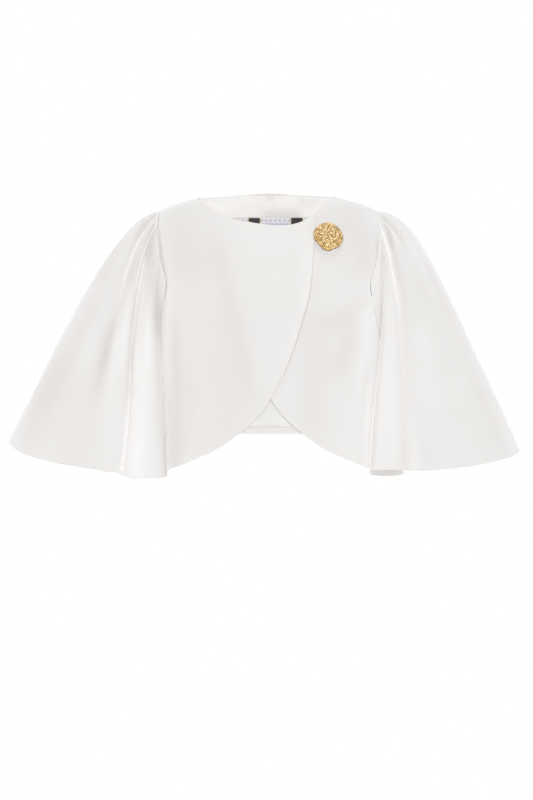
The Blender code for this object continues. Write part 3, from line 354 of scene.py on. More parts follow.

# Soft shades where the cloth leans away from the light: how much darker (below zero: paler), half width,
# then a path of x, z. The paths were placed over the photo and turned into metres, 1.66 mm to a pixel
# These strokes are painted shade on the cloth's colour, and those below zero are painted highlights
SHADES = {
    "front_right": (
        (0.065, 0.0613, (-0.1331, 0.0785), (-0.1267, -0.0377), (-0.1122, -0.1313),
         (-0.088, -0.2282), (-0.075, -0.3896), (-0.0718, -0.5509)),
        (0.05, 0.0355, (-0.1654, 0.0139), (-0.1461, -0.0668), (-0.1025, -0.1394)),
        (0.06, 0.0145, (-0.0912, -0.0103), (-0.0783, -0.0991), (-0.0621, -0.1798),
         (-0.0428, -0.2604), (-0.0299, -0.3734)),
        (0.05, 0.0145, (-0.1299, -0.2604), (-0.1299, -0.3411), (-0.1299, -0.438)),
        (0.17, 0.0145, (-0.1622, -0.1023), (-0.159, -0.1636), (-0.1541, -0.2443),
         (-0.1509, -0.325), (-0.1477, -0.5509)),
        (-0.05, 0.0129, (0.0637, -0.0022), (0.0654, -0.1475), (0.0557, -0.212), (0.0266, -0.2847)),
        (0.34, 0.0031, (-0.1832, -0.0264), (-0.1783, -0.0668), (-0.1719, -0.1055), (-0.1622, -0.1507)),
    ),
    "front_left": (
        (0.08, 0.0323, (0.1122, 0.0301), (0.1509, -0.0748), (0.1638, -0.1636)),
        (0.065, 0.0258, (0.0702, -0.1475), (0.0767, -0.2766), (0.075, -0.4218)),
        (0.09, 0.0161, (0.188, -0.141), (0.1315, -0.183), (0.0702, -0.2201)),
        (0.08, 0.0178, (0.1412, -0.1798), (0.1251, -0.2443), (0.0993, -0.3008)),
        (0.09, 0.0065, (0.159, -0.2282), (0.1541, -0.3734), (0.1444, -0.5187)),
        (0.24, 0.0031, (0.1775, -0.0426), (0.1783, -0.0958), (0.167, -0.1442)),
        (-0.1, 0.0081, (0.1638, -0.2766), (0.159, -0.3573), (0.1509, -0.4541)),
        (-0.08, 0.004, (0.1622, -0.1087), (0.1703, -0.1798), (0.1799, -0.2379)),
    ),
    "sleeve_right": (
        (0.1, 0.0226, (-0.2364, -0.0264), (-0.28, -0.1394), (-0.3123, -0.204),
         (-0.3526, -0.2798), (-0.4091, -0.4057)),
        (0.1, 0.0113, (-0.1848, -0.0087), (-0.2268, -0.0474), (-0.259, -0.091), (-0.2881, -0.1475)),
        (0.06, 0.0387, (-0.28, -0.2443), (-0.3042, -0.325), (-0.3204, -0.5187)),
        (0.08, 0.0258, (-0.3268, -0.2282), (-0.3655, -0.3169), (-0.3914, -0.3815), (-0.4172, -0.4541)),
        (-0.11, 0.0081, (-0.2074, -0.0184), (-0.2332, -0.0829), (-0.2461, -0.1233),
         (-0.259, -0.1717), (-0.2719, -0.2282)),
        (-0.08, 0.0081, (-0.2235, -0.1233), (-0.2332, -0.212), (-0.2397, -0.3008)),
        (0.18, 0.0097, (-0.2074, -0.0377), (-0.2251, -0.1023), (-0.238, -0.1475),
         (-0.2477, -0.1927), (-0.2623, -0.2362), (-0.2849, -0.3411)),
        (0.22, 0.0113, (-0.1896, -0.0264), (-0.1896, -0.1071), (-0.1864, -0.1717), (-0.1816, -0.2443)),
        (0.48, 0.0065, (-0.1783, -0.1233), (-0.1703, -0.2362), (-0.1654, -0.325), (-0.1606, -0.5509)),
        (-0.07, 0.0113, (-0.2058, -0.1798), (-0.2138, -0.2927), (-0.2203, -0.5187)),
        (0.18, 0.0048, (-0.2025, -0.0748), (-0.2122, -0.1475), (-0.2203, -0.212),
         (-0.2251, -0.2766), (-0.23, -0.3734)),
        (0.16, 0.0048, (-0.1816, -0.0248), (-0.1977, -0.0668), (-0.2042, -0.1071)),
    ),
    "sleeve_left": (
        (0.14, 0.0048, (0.1848, -0.0377), (0.1864, -0.1152), (0.1848, -0.1636), (0.1832, -0.2443)),
        (0.19, 0.0042, (0.1864, -0.1152), (0.1824, -0.2282), (0.1767, -0.2847),
         (0.1716, -0.3492), (0.1662, -0.4299), (0.159, -0.5509)),
        (-0.05, 0.0113, (0.1993, -0.0345), (0.2122, -0.1233), (0.2235, -0.1959),
         (0.2316, -0.2766), (0.238, -0.3573), (0.2445, -0.5187)),
        (-0.04, 0.0226, (0.2413, -0.1636), (0.251, -0.2443), (0.2639, -0.3734)),
        (0.06, 0.021, (0.2445, -0.0587), (0.2929, -0.1959), (0.3317, -0.325)),
        (0.06, 0.0242, (0.322, -0.2604), (0.351, -0.3573), (0.3736, -0.4541)),
        (0.11, 0.0097, (0.1961, -0.0748), (0.2138, -0.1959), (0.2203, -0.325), (0.2251, -0.5509)),
        (0.18, 0.0042, (0.1832, -0.0216), (0.1977, -0.0506), (0.2058, -0.0861)),
        (-0.16, 0.0048, (0.1848, -0.0216), (0.1912, -0.0539), (0.2042, -0.1023)),
        (-0.08, 0.004, (0.1622, -0.1087), (0.1703, -0.1798), (0.1799, -0.2379)),
    ),
    "neck_facing": (
        (0.2, 0.0102, (-0.0212, -0.0106), (0.0263, -0.0123), (0.0637, -0.0073)),
        (0.12, 0.0051, (-0.0076, 0.0182), (0.0127, 0.0165)),
        (0.35, 0.0029, (-0.1334, 0.0182), (-0.0739, 0.0233), (-0.0314, 0.025),
         (0.028, 0.025), (0.0705, 0.0233), (0.1215, 0.0182)),
        (0.55, 0.0041, (0.0739, 0.0225), (0.1249, 0.0191)),
        (0.08, 0.0102, (0.0433, 0.0097), (0.0943, 0.0131)),
    ),
}
# Soft painted shades on the sleeves: path and ends as for the creases, how much darker (below zero: a
# painted highlight), half width
SLEEVE_SHADES = {
    "sleeve_right": (
        (0.2, 0.2, 0.205, 0.21, 0.2, 1.6, -0.09, 0.022),
        (0.24, 0.246, 0.254, 0.262, 0.0, 1.3, 0.09, 0.01),
        (0.096, 0.108, 0.128, 0.15, 0.15, 1.6, 0.05, 0.014),
        (0.03, 0.032, 0.036, 0.04, 0.45, 1.5, 0.035, 0.012),
        (0.052, 0.064, 0.078, 0.09, 0.2, 1.0, -0.06, 0.006),
    ),
    "sleeve_left": (
        (0.1, 0.104, 0.11, 0.116, 0.2, 1.6, -0.06, 0.016),
        (0.07, 0.076, 0.078, 0.078, 0.05, 1.3, 0.06, 0.008),
        (0.04, 0.044, 0.048, 0.05, 0.3, 1.4, 0.03, 0.012),
    ),
}

# Studio
WORLD_STRENGTH = 1.0
FLOOR_Z, FLOOR_RADIUS = -1.4, 2.2
FLOOR_TONES = ((0.3, (0.9, 0.9, 0.9)), (0.7, (0.93, 0.93, 0.93)))
# Lamps: name, place, size, power. All look at the middle of the jacket
LAMPS = (
    ("front", (0.0, -4.2, -0.325), 0.1, 150.0),
    ("left", (-4.0, -1.6, 0.1), 2.4, 34.0),
    ("right", (4.0, -1.6, 0.1), 2.4, 29.0),
    ("top", (0.0, -1.2, 3.6), 2.4, 50.0),
    ("back", (0.0, 4.2, 0.2), 2.4, 120.0),
    ("below", (0.0, -1.2, -3.4), 2.4, 30.0),
)
LAMP_AIM = (0.0, 0.0, -0.23)
CAMERA_PLACE, CAMERA_LENS, CAMERA_SENSOR = (-0.0033, -3.6, -0.325), 97.59, 36.0


def unit(vectors):
    """The same directions at length one."""
    return vectors / np.maximum(np.linalg.norm(vectors, axis=-1, keepdims=True), 1e-12)


def smooth(t):
    """0 to 1 with level ends."""
    t = np.clip(t, 0.0, 1.0)
    return t * t * (3.0 - 2.0 * t)


def cubic_through(knots, values, at):
    """A smooth curve through the values at the knots, which never swings past them."""
    knots, values, at = np.asarray(knots, float), np.asarray(values, float), np.asarray(at, float)
    step = np.diff(knots)
    slope = np.diff(values) / step
    heading = np.zeros(len(knots))
    heading[0], heading[-1] = slope[0], slope[-1]
    left, right = slope[:-1], slope[1:]
    same_way = left * right > 0
    weight_left = 2.0 * step[1:] + step[:-1]
    weight_right = step[1:] + 2.0 * step[:-1]
    safe_left = np.where(same_way, left, 1.0)
    safe_right = np.where(same_way, right, 1.0)
    mean = (weight_left + weight_right) / (weight_left / safe_left + weight_right / safe_right)
    heading[1:-1] = np.where(same_way, mean, 0.0)
    cell = np.clip(np.searchsorted(knots, at) - 1, 0, len(step) - 1)
    span = step[cell]
    t = (np.clip(at, knots[0], knots[-1]) - knots[cell]) / span
    return (
        (2 * t**3 - 3 * t**2 + 1) * values[cell]
        + (t**3 - 2 * t**2 + t) * span * heading[cell]
        + (3 * t**2 - 2 * t**3) * values[cell + 1]
        + (t**3 - t**2) * span * heading[cell + 1]
    )


def curve_through(points, count_at, closed=False):
    """Points on a Catmull-Rom curve through the given points. count_at holds positions in point numbers."""
    points, at = np.asarray(points, float), np.asarray(count_at, float)
    last = len(points)
    cell = np.floor(at).astype(int)
    if not closed:
        cell = np.clip(cell, 0, last - 2)
    t = (at - cell)[..., None]
    if closed:
        before, start, end, after = (points[(cell + k) % last] for k in (-1, 0, 1, 2))
    else:
        start, end = points[cell], points[cell + 1]
        behind, ahead = points[np.maximum(cell - 1, 0)], points[np.minimum(cell + 2, last - 1)]
        before = np.where((cell > 0)[..., None], behind, 2 * start - end)
        after = np.where((cell < last - 2)[..., None], ahead, 2 * end - start)
    return 0.5 * (
        2 * start
        + (end - before) * t
        + (2 * before - 5 * start + 4 * end - after) * t**2
        + (3 * start - before - 3 * end + after) * t**3
    )


def fine_curve(points):
    """A dense polyline through the points."""
    spans = len(points) - 1
    return curve_through(points, np.linspace(0, spans, spans * CURVE_STEPS + 1))


def section(z, column):
    """Column 1 is the half width, 2 the front's depth and 3 the back's, at height z."""
    rows = np.array(SECTIONS)
    return cubic_through(rows[:, 0], rows[:, column], z)


def torso(turn, z, facing):
    """Points and outward normals of the bodice's form. turn is 0 at the middle and a quarter circle at the
    side, facing is -1 for the front and 1 for the back."""
    column, power = (2, FRONT_POWER) if facing < 0 else (3, BACK_POWER)
    half, depth = section(z, 1), section(z, column)
    sine = np.clip(np.sin(turn), -1.0, 1.0)
    rest = np.maximum(1.0 - np.abs(sine) ** power, 0.0)
    x, y = half * sine, facing * depth * rest ** (1.0 / power)
    step = FORM_STEP
    half_slope = (section(z + step, 1) - section(z - step, 1)) / (2 * step)
    depth_slope = (section(z + step, column) - section(z - step, column)) / (2 * step)
    side, deep = np.abs(x) / half, np.abs(y) / depth
    normal = np.stack(
        [
            np.sign(x) * side ** (power - 1) / half,
            facing * deep ** (power - 1) / depth,
            -(side**power) * half_slope / half - deep**power * depth_slope / depth,
        ],
        axis=-1,
    )
    return np.stack([x, y, z], axis=-1), unit(normal)


def turn_of(x, z):
    """The turn at which the form's section at height z is x from the middle."""
    return np.arcsin(np.clip(x / section(z, 1), -1.0, 1.0))


def fold_depth(x, z, folds):
    """How far the soft folds push the cloth inwards at x, z."""
    total = np.zeros_like(x)
    for x0, z0, x1, z1, depth, half_width in folds:
        along = np.array([x1 - x0, z1 - z0])
        length = np.linalg.norm(along)
        along /= length
        run = (x - x0) * along[0] + (z - z0) * along[1]
        off = (x - x0) * along[1] - (z - z0) * along[0]
        fade = 2 * FOLD_REACH * length
        ends = smooth((run + FOLD_REACH * length) / fade) * smooth(((1 + FOLD_REACH) * length - run) / fade)
        total += depth * np.exp(-((off / half_width) ** 2)) * ends
    return total


def armhole_line(facing):
    """The armhole on the +X side as turn and height, from the underarm up to the shoulder tip."""
    line = fine_curve(ARMHOLE)[::-1]
    out, z = line[:, 0].copy(), line[:, 1]
    if facing > 0:
        up = smooth((z - UNDERARM_Z) / (SHOULDER_TIP_Z - UNDERARM_Z))
        out += BACK_ARMHOLE_WIDER * np.sin(np.pi * up) ** 2
    turn = turn_of(out, z)
    turn[0] = turn[-1] = math.pi / 2
    return np.stack([turn, z], axis=-1)


def in_turns(line):
    """An outline of x and height as turn and height."""
    line = np.asarray(line, float)
    return np.stack([turn_of(line[:, 0], line[:, 1]), line[:, 1]], axis=-1)


def run_along(points):
    """How far along a line each of its points lies."""
    return np.concatenate([[0.0], np.cumsum(np.linalg.norm(np.diff(points, axis=0), axis=1))])


def by_length(line, shares, facing):
    """Points of an outline in turn and height, at shares of its length on the form."""
    line = np.asarray(line, float)
    points, _ = torso(line[:, 0], line[:, 1], facing)
    run = run_along(points)
    return columns_at(np.asarray(shares) * run[-1], run, line)


def patch(bottom, top, start, end):
    """The grid between four outlines. bottom and top run from start's side to end's side, and their own
    shape dies away quickly from row to row, so that no row leaves the armhole's outline."""
    v = np.linspace(0, 1, len(start))[:, None, None]
    s = np.linspace(0, 1, len(bottom))[None, :, None]
    rows = (1 - s) * start[:, None] + s * end[:, None]
    from_bottom = bottom[None] - ((1 - s) * bottom[0] + s * bottom[-1])
    from_top = top[None] - ((1 - s) * top[0] + s * top[-1])
    return rows + (1 - v) ** 2 * from_bottom + v**TOP_FADE * from_top


def side_and_armhole(facing, low, shares):
    """The outer outline of a bodice piece on the +X side. low holds the heights up the side seam, shares the
    rows up the armhole to the shoulder tip."""
    seam = np.stack([np.full(len(low), math.pi / 2), low], axis=-1)
    return np.concatenate([seam[:-1], by_length(armhole_line(facing), shares, facing)])


def shoulder_seam(side, shares):
    """The shoulder seam on one side, from the tip to the neck point, as turn and height."""
    z = SHOULDER_TIP_Z + (NECK_POINT_Z[side] - SHOULDER_TIP_Z) * np.asarray(shares)
    return np.stack([np.full_like(z, side * math.pi / 2), z], axis=-1)


def back_neckline(side, shares):
    """The back neckline from one neck point to the middle, as turn and height."""
    turn = side * math.pi / 2 * (1 - np.asarray(shares))
    z = NECK_POINT_Z[side] + (BACK_NECK_Z - NECK_POINT_Z[side]) * smooth(np.asarray(shares)) ** NECK_CURVE
    return np.stack([turn, z], axis=-1)


def back_hem(side, shares):
    """The back hem from one side seam to the middle, as turn and height."""
    turn = math.pi / 2 * (1 - np.asarray(shares))
    flat = math.asin(BACK_HEM_FLAT / section(BACK_HEM_Z, 1))
    z = BACK_HEM_Z + (SIDE_HEM_Z - BACK_HEM_Z) * smooth((turn - flat) / (math.pi / 2 - flat))
    return np.stack([side * turn, z], axis=-1)


def rows_of_edge(line, low, high):
    """Shares a front's free edge out in rows, so that they lie level with those at its side seam."""
    shares = stepped(0.0, low, EDGE_LOW_SHARE, high, 1.0)
    return by_length(line, shares, -1)


def front_grid(mirror, across, low, high):
    """Turn and height of a front, from its side seam to its free edge. mirror is -1 for the right front,
    whose side seam is at -X, and 1 for the left."""
    shift = 0.0 if mirror < 0 else 2 * FRONTS_CROSS_X
    edge = fine_curve(FRONT_EDGE)
    corner = EDGE_CORNER * CURVE_STEPS
    if mirror > 0:
        edge = edge * (-1.0, 1.0) + (shift, 0.0)
        edge[-1] = (section(SIDE_HEM_Z, 1), SIDE_HEM_Z)
    neckline = fine_curve(NECKLINE)
    if mirror > 0:
        neckline = neckline[::-1]
    keep = neckline[:, 0] * mirror > edge[0, 0] * mirror
    neckline = np.concatenate([neckline[keep], edge[:1]])
    edge[0, 1] = np.interp(edge[0, 0] * mirror, neckline[::-1, 0] * mirror, neckline[::-1, 1])
    neckline[-1] = edge[0]
    turns = in_turns(neckline)
    turns[0, 0] = mirror * math.pi / 2

    inner = in_turns(edge[: corner + 1][::-1])
    hem = in_turns(edge[corner:][::-1])
    hem[0, 0] = mirror * math.pi / 2

    shoulder_columns = max(3, round(across * SHOULDER_SHARE[-1]))
    seam = shoulder_seam(mirror, np.linspace(0, 1, shoulder_columns + 1)[:-1])
    neck = by_length(turns, np.linspace(0, 1, across - shoulder_columns + 1), -1)
    top = np.concatenate([seam, neck])
    bottom = by_length(hem, np.linspace(0, 1, across + 1), -1)
    seam_z = np.linspace(SIDE_HEM_Z, UNDERARM_Z, low + 1)
    outer = side_and_armhole(-1, seam_z, armhole_shares(-1, high)) * (mirror, 1.0)
    inner = rows_of_edge(inner, low, high)
    bottom[0], top[0] = outer[0], outer[-1]
    bottom[-1], top[-1] = inner[0], inner[-1]
    return patch(bottom, top, outer, inner)


def stepped(*stops):
    """Heights or shares in even steps between stops, each given as value, steps, value, steps and so on."""
    made = [np.array([stops[0]])]
    for start, steps, end in zip(stops[0::2], stops[1::2], stops[2::2]):
        made.append(np.linspace(start, end, steps + 1)[1:])
    return np.concatenate(made)


def back_grid(across, low, high):
    """Turn and height of the whole back, from the -X side to the +X side. One row runs along the top of the
    turned hem and one along the facing's lower edge."""
    waist, neck = UNDERARM_Z + BACK_WAIST_UP, BACK_NECK_Z - FACING_DEPTH
    seam_z = stepped(SIDE_HEM_Z, HEM_ROWS, SIDE_HEM_Z + HEM_TURN, low - HEM_ROWS, UNDERARM_Z)
    outer = side_and_armhole(1, seam_z, armhole_shares(1, high))
    below = stepped(BACK_HEM_Z, HEM_ROWS, BACK_HEM_Z + HEM_TURN, low - HEM_ROWS, waist)
    above = stepped(waist, high - FACING_ROWS, neck, FACING_ROWS, BACK_NECK_Z)
    middle_z = np.concatenate([below, above[1:]])
    middle = np.stack([np.zeros(low + high + 1), middle_z], axis=-1)
    shoulder_columns = max(3, round(across * SHOULDER_SHARE[1]))
    halves = []
    for side in (-1, 1):
        seam = shoulder_seam(side, np.linspace(0, 1, shoulder_columns + 1)[:-1])
        neck_shares = np.linspace(0, 1, across - shoulder_columns + 1)
        top = np.concatenate([seam, by_length(back_neckline(side, FINE_SHARES), neck_shares, 1)])
        bottom = by_length(back_hem(side, FINE_SHARES), np.linspace(0, 1, across + 1), 1)
        halves.append(patch(bottom, top, outer * (side, 1.0), middle))
    return np.concatenate([halves[0], halves[1][:, ::-1][:, 1:]], axis=1)


def edges_of(rows, columns, closed):
    """The border of a grid and the line next to it, one pair for each side."""
    ends = [((0, slice(None)), (1, slice(None))), ((rows - 1, slice(None)), (rows - 2, slice(None)))]
    sides = [((slice(None), 0), (slice(None), 1)), ((slice(None), columns - 1), (slice(None), columns - 2))]
    return ends if closed else ends + sides


def outward(points, normals, closed=False):
    """For each border point of a grid, the direction along the cloth that leads off it. Zero elsewhere."""
    away = np.zeros_like(points)
    for edge, inside in edges_of(*points.shape[:2], closed):
        border = points[edge]
        if closed:
            heading = np.roll(border, -1, axis=0) - np.roll(border, 1, axis=0)
        else:
            heading = np.gradient(border, axis=0)
        step = border - points[inside]
        for straight in (unit(heading), normals[edge]):
            step = step - (step * straight).sum(-1, keepdims=True) * straight
        away[edge] += unit(step)
    return unit(away)


def bodice_points(grid, facing, folds, sunk=0.0):
    """Outer points and normals of a bodice piece: the form, its folds, and how far it is sunk inwards."""
    points, normals = torso(grid[..., 0], grid[..., 1], facing)
    depth = fold_depth(points[..., 0], points[..., 2], folds) * smooth(np.cos(grid[..., 0]) / 0.5)
    return points - normals * (depth + sunk)[..., None], normals


def underlap(grid):
    """How far the left front is sunk so that it lies under the right one."""
    x = section(grid[..., 1], 1) * np.sin(grid[..., 0])
    return UNDERLAP_STEP * smooth((UNDERLAP_TO - x) / (UNDERLAP_TO - UNDERLAP_FROM))


def front_piece(mirror):
    """Outer points and normals of a front."""
    grid = front_grid(mirror, FRONT_ACROSS, PANEL_LOW, PANEL_HIGH)
    return bodice_points(grid, -1, FRONT_FOLDS, underlap(grid) if mirror > 0 else 0.0)


def shade(points, name, normals=None):
    """How much darker the soft shades make a piece's points, with normals only those that face the front."""
    x, z = points[..., 0], points[..., 2]
    total = np.zeros(x.shape)
    for depth, half_width, *path in SHADES[name]:
        path = np.array(path)
        stops = np.concatenate([[0.0], np.cumsum(np.hypot(*np.diff(path, axis=0).T))])
        nearest, reached = np.full(x.shape, FAR_OFF), np.zeros(x.shape)
        for (x0, z0), (x1, z1), begin, end in zip(path[:-1], path[1:], stops[:-1], stops[1:]):
            run = np.clip(((x - x0) * (x1 - x0) + (z - z0) * (z1 - z0)) / (end - begin) ** 2, 0.0, 1.0)
            away = np.hypot(x - x0 - run * (x1 - x0), z - z0 - run * (z1 - z0))
            reached = np.where(away < nearest, (begin + run * (end - begin)) / stops[-1], reached)
            nearest = np.minimum(nearest, away)
        ends = smooth(reached / SHADE_FADE) * smooth((1.0 - reached) / SHADE_FADE)
        total += depth * ends * np.exp(-((nearest / half_width) ** SHADE_POWER))
    return total if normals is None else total * smooth(0.5 - normals[..., 1] / SHADE_LEAN)


def front_tone(mirror):
    """How close each point of a front is to the cloth's own colour: painted soft shades, and a painted
    shadow line along the free edge of the front that lies on top."""
    points, normals = front_piece(mirror)
    tone = TONE_REST - shade(points, "front_right" if mirror < 0 else "front_left", normals)
    if mirror < 0:
        # A painted shadow line along the right front's free edge, above where the fronts cross
        tone[:, -1] = np.where(points[:, -1, 2] > CROSSING_Z, TONE_EDGE_SHADOW, TONE_REST)
    return tone


def back_piece():
    """Outer points and normals of the back."""
    return bodice_points(back_grid(BACK_ACROSS, PANEL_LOW, PANEL_HIGH), 1, BACK_FOLDS)


def inside_back(rows, columns=slice(None)):
    """Outer points and normals of a layer made from some of the back's points, against its inside."""
    points, normals = back_piece()
    points, normals = points[rows, columns], normals[rows, columns]
    return points - normals * (SHELL + LAYER_GAP), normals


def label_piece(across=80, down=30):
    """Outer points and normals of the label, on the lining just below the facing."""
    x = np.linspace(-0.5, 0.5, across + 1) * LABEL_WIDTH + LABEL_X
    top = BACK_NECK_Z - FACING_DEPTH - LAYER_GAP
    share = np.linspace(0, 1, down + 1)[:, None]
    z = top - LABEL_DROP * (1 - share) + 0.0 * x
    grid = np.stack([turn_of(np.broadcast_to(x, z.shape), z), z], axis=-1)
    return bodice_points(grid, 1, BACK_FOLDS, np.full(z.shape, SHELL + FACING + 3 * LAYER_GAP))


def armhole_shares(facing, high):
    """Where the rows of a bodice piece meet its armhole, from the underarm up."""
    if facing < 0:
        return np.linspace(0, 1, high + 1)
    return stepped(0.0, high - FACING_ROWS, FACING_SHARE, FACING_ROWS, 1.0)


def armhole_ring(side, high):
    """The bodice's own points round the whole armhole, from the shoulder tip over the front, with its
    outward normals there and each point's share of the way round. side is -1 for the wearer's right."""
    made = []
    for facing, folds in ((-1, FRONT_FOLDS), (1, BACK_FOLDS)):
        line = by_length(armhole_line(facing), armhole_shares(facing, high), facing) * (side, 1.0)
        made.append(bodice_points(line, facing, folds))
    points = np.concatenate([made[0][0][::-1], made[1][0][1:]])
    normals = np.concatenate([made[0][1][::-1], made[1][1][1:]])
    run = run_along(points)
    return points, normals, run / run[-1]


def columns_at(at, knots, rows):
    """The rows that stand at the knots, read in between at the given places."""
    return np.stack([np.interp(at, knots, rows[:, k]) for k in range(rows.shape[1])], axis=-1)


def station_numbers(stations, count):
    """Positions round the stations, in station numbers, evenly spaced by armhole and hem together."""
    rows = np.array([row[1:4] for row in stations])
    last = len(rows)
    fine_at = np.linspace(0, last, last * STATION_STEPS + 1)
    fine = curve_through(rows, fine_at[:-1], closed=True)
    fine = np.concatenate([fine, fine[:1]])
    run = run_along(fine)
    share = np.interp(fine_at, np.arange(last + 1), [row[0] for row in stations] + [1.0])
    pace = run / run[-1] + ARMHOLE_PACE * share
    return np.interp(np.linspace(0, pace[-1], count + 1)[:-1], pace, fine_at)


def lengthwise(table, share, v):
    """The sum of a sleeve's soft lengthwise lines at each station share and place down the sleeve."""
    total = np.zeros((len(v), len(share)))
    for *path, begin, end, depth, half_width in table:
        centre = np.interp(v, CREASE_STOPS, path)
        away_from = (share[None] - centre + 0.5) % 1.0 - 0.5
        fade = 1 - smooth((v - CREASE_HOLD * end) / ((1 - CREASE_HOLD) * end))
        total += depth * np.exp(-((away_from / half_width) ** 2)) * smooth((v - begin) / CREASE_START) * fade
    return total


def sleeve_piece(name, side, stations):
    """Outer points, normals and tone of a sleeve, the tone holding painted shade: one ring for each row,
    from the armhole to the hem.
    """
    at = station_numbers(stations, SLEEVE_ROUND)
    table = np.array(stations)
    unwrapped = np.concatenate([table[:, 0], [1.0]])
    corner_points, corner_normals, corner_shares = armhole_ring(side, PANEL_HIGH)
    share = np.interp(at, np.arange(len(unwrapped)), unwrapped)
    rest = curve_through(table[:, 1:], at, closed=True)
    out, back, height, lift_out, lift_back, lift_up, fall_out, fall_back, swell = rest.T
    flip = np.array([side, 1.0, 1.0])
    start = columns_at(share, corner_shares, corner_points)
    cloth = unit(columns_at(share, corner_shares, corner_normals))
    hem = np.stack([out, back, height], axis=-1) * flip
    lift = np.stack([lift_out, lift_back, lift_up], axis=-1) * flip
    fall = np.stack([fall_out, fall_back, np.full_like(out, SLEEVE_FALL_UP)], axis=-1) * flip

    heading = unit(np.roll(start, -1, axis=0) - np.roll(start, 1, axis=0))
    away = side * unit(np.cross(cloth, heading))
    lean = np.clip(np.arctan2((lift * cloth).sum(-1), (lift * away).sum(-1)), 0.0, math.pi)[:, None]
    start = start + SEAM_GAP * (LEAVE_AWAY * away + LEAVE_LIFT * smooth(lean / math.pi) * cloth)

    t = stepped(*SLEEVE_ROWS)[:, None, None]
    points = (
        (2 * t**3 - 3 * t**2 + 1) * start
        + (t**3 - 2 * t**2 + t) * lift
        + (3 * t**2 - 2 * t**3) * hem
        + (t**3 - t**2) * fall
        + 16 * t**2 * (1 - t) ** 2 * swell[:, None] * (side, 0.0, 0.0)
    )
    normals = ring_normals(points, side)
    normals[0] = np.cos(lean) * cloth - np.sin(lean) * away
    v = t[:, :, 0]
    crease = lengthwise(SLEEVE_CREASES[name], share, v)
    shades = lengthwise(SLEEVE_SHADES[name], share, v) + shade(points, name, normals)
    # Painted shade: darker in the creases and soft shades, and a painted dark line of shade along the hem
    tone = TONE_REST - TONE_CREASE * crease - shades
    tone[-1] = TONE_HEM
    return points - normals * crease[..., None], normals, tone


def ring_normals(points, side):
    """Outward normals of a tube of rings."""
    round_it = np.roll(points, -1, axis=1) - np.roll(points, 1, axis=1)
    return unit(np.cross(round_it, np.gradient(points, axis=0)) * side)


def strip(first, second, flip):
    """Faces between two closed loops of the same length."""
    quads = np.stack([first, second, np.roll(second, -1), np.roll(first, -1)], axis=-1)
    return quads[:, ::-1] if flip else quads


def add_mesh(name, points, quads, finish):
    """A smooth-shaded object whose faces all look outwards."""
    points = np.asarray(points, float)
    quads = np.asarray(quads, int)
    a, b, c, d = (points[quads[:, k]] for k in range(4))
    volume = (np.cross(a, b) * c).sum() + (np.cross(a, c) * d).sum()
    if volume < 0:
        quads = quads[:, ::-1]
    mesh = bpy.data.meshes.new(name)
    mesh.from_pydata(points.tolist(), [], quads.tolist())
    mesh.update()
    mesh.shade_smooth()
    mesh.materials.append(finish)
    made = bpy.data.objects.new(name, mesh)
    bpy.context.scene.collection.objects.link(made)
    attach(made, "root")
    return made


def add_shell(
    name, outer, normals, thickness, finish, closed=False, gap=SEAM_GAP / 2, tone=None, inner=None
):
    """A thin cloth shell with rounded rims: the outer grid, its rims, and the same grid moved inwards. tone
    holds how close each point's colour is to the cloth's own rather than to the painted shade colour, and
    inner the same for its inner side."""
    rows, columns = outer.shape[:2]
    count = rows * columns
    away = outward(outer, normals, closed)
    bulge = thickness * RIM_BULGE
    flat = (outer - away * (gap + bulge)).reshape(-1, 3)
    facing, away = normals.reshape(-1, 3), away.reshape(-1, 3)
    points = [flat, flat - facing * thickness]
    tone = np.full(count, TONE_REST) if tone is None else tone.reshape(-1)
    tones = [tone, np.full(count, TONE_REST) if inner is None else inner.reshape(-1)]
    at = np.arange(count).reshape(rows, columns)
    around = np.concatenate([at, at[:, :1]], axis=1) if closed else at
    quads = [around[:-1, :-1], around[:-1, 1:], around[1:, 1:], around[1:, :-1]]
    quads = np.stack(quads, axis=-1).reshape(-1, 4)
    faces = [quads, quads[:, ::-1] + count]
    if closed:
        loops = [(at[0], False), (at[-1], True)]
    else:
        loops = [(np.concatenate([at[0], at[1:, -1], at[-1, -2::-1], at[-2:0:-1, 0]]), False)]
    total = 2 * count
    for loop, flip in loops:
        previous = loop
        for step in range(1, RIM_STEPS + 1):
            turn = math.pi * step / (RIM_STEPS + 1)
            sink = thickness / 2 * (1 - math.cos(turn))
            tones.append(tone[loop])
            points.append(flat[loop] + away[loop] * bulge * math.sqrt(math.sin(turn)) - facing[loop] * sink)
            current = total + np.arange(len(loop))
            total += len(loop)
            faces.append(strip(previous, current, flip))
            previous = current
        faces.append(strip(previous, loop + count, flip))
    made = add_mesh(name, np.concatenate(points), np.concatenate(faces), finish)
    ends = np.zeros(2 * len(made.data.edges), int)
    made.data.edges.foreach_get("vertices", ends)
    ends = np.sort(ends.reshape(-1, 2), axis=1) @ (total, 1)
    corners = [np.stack([loop, np.roll(loop, -1)], axis=1) for loop, _ in loops]
    corners = [np.sort(pairs, axis=1) @ (total, 1) for pairs in corners]
    mark = made.data.attributes.new("sharp_edge", "BOOLEAN", "EDGE")
    mark.data.foreach_set("value", np.isin(ends, np.concatenate(corners)))
    mark = made.data.attributes.new("tone", "FLOAT", "POINT")
    mark.data.foreach_set("value", np.concatenate(tones).astype(np.float32))
    return made


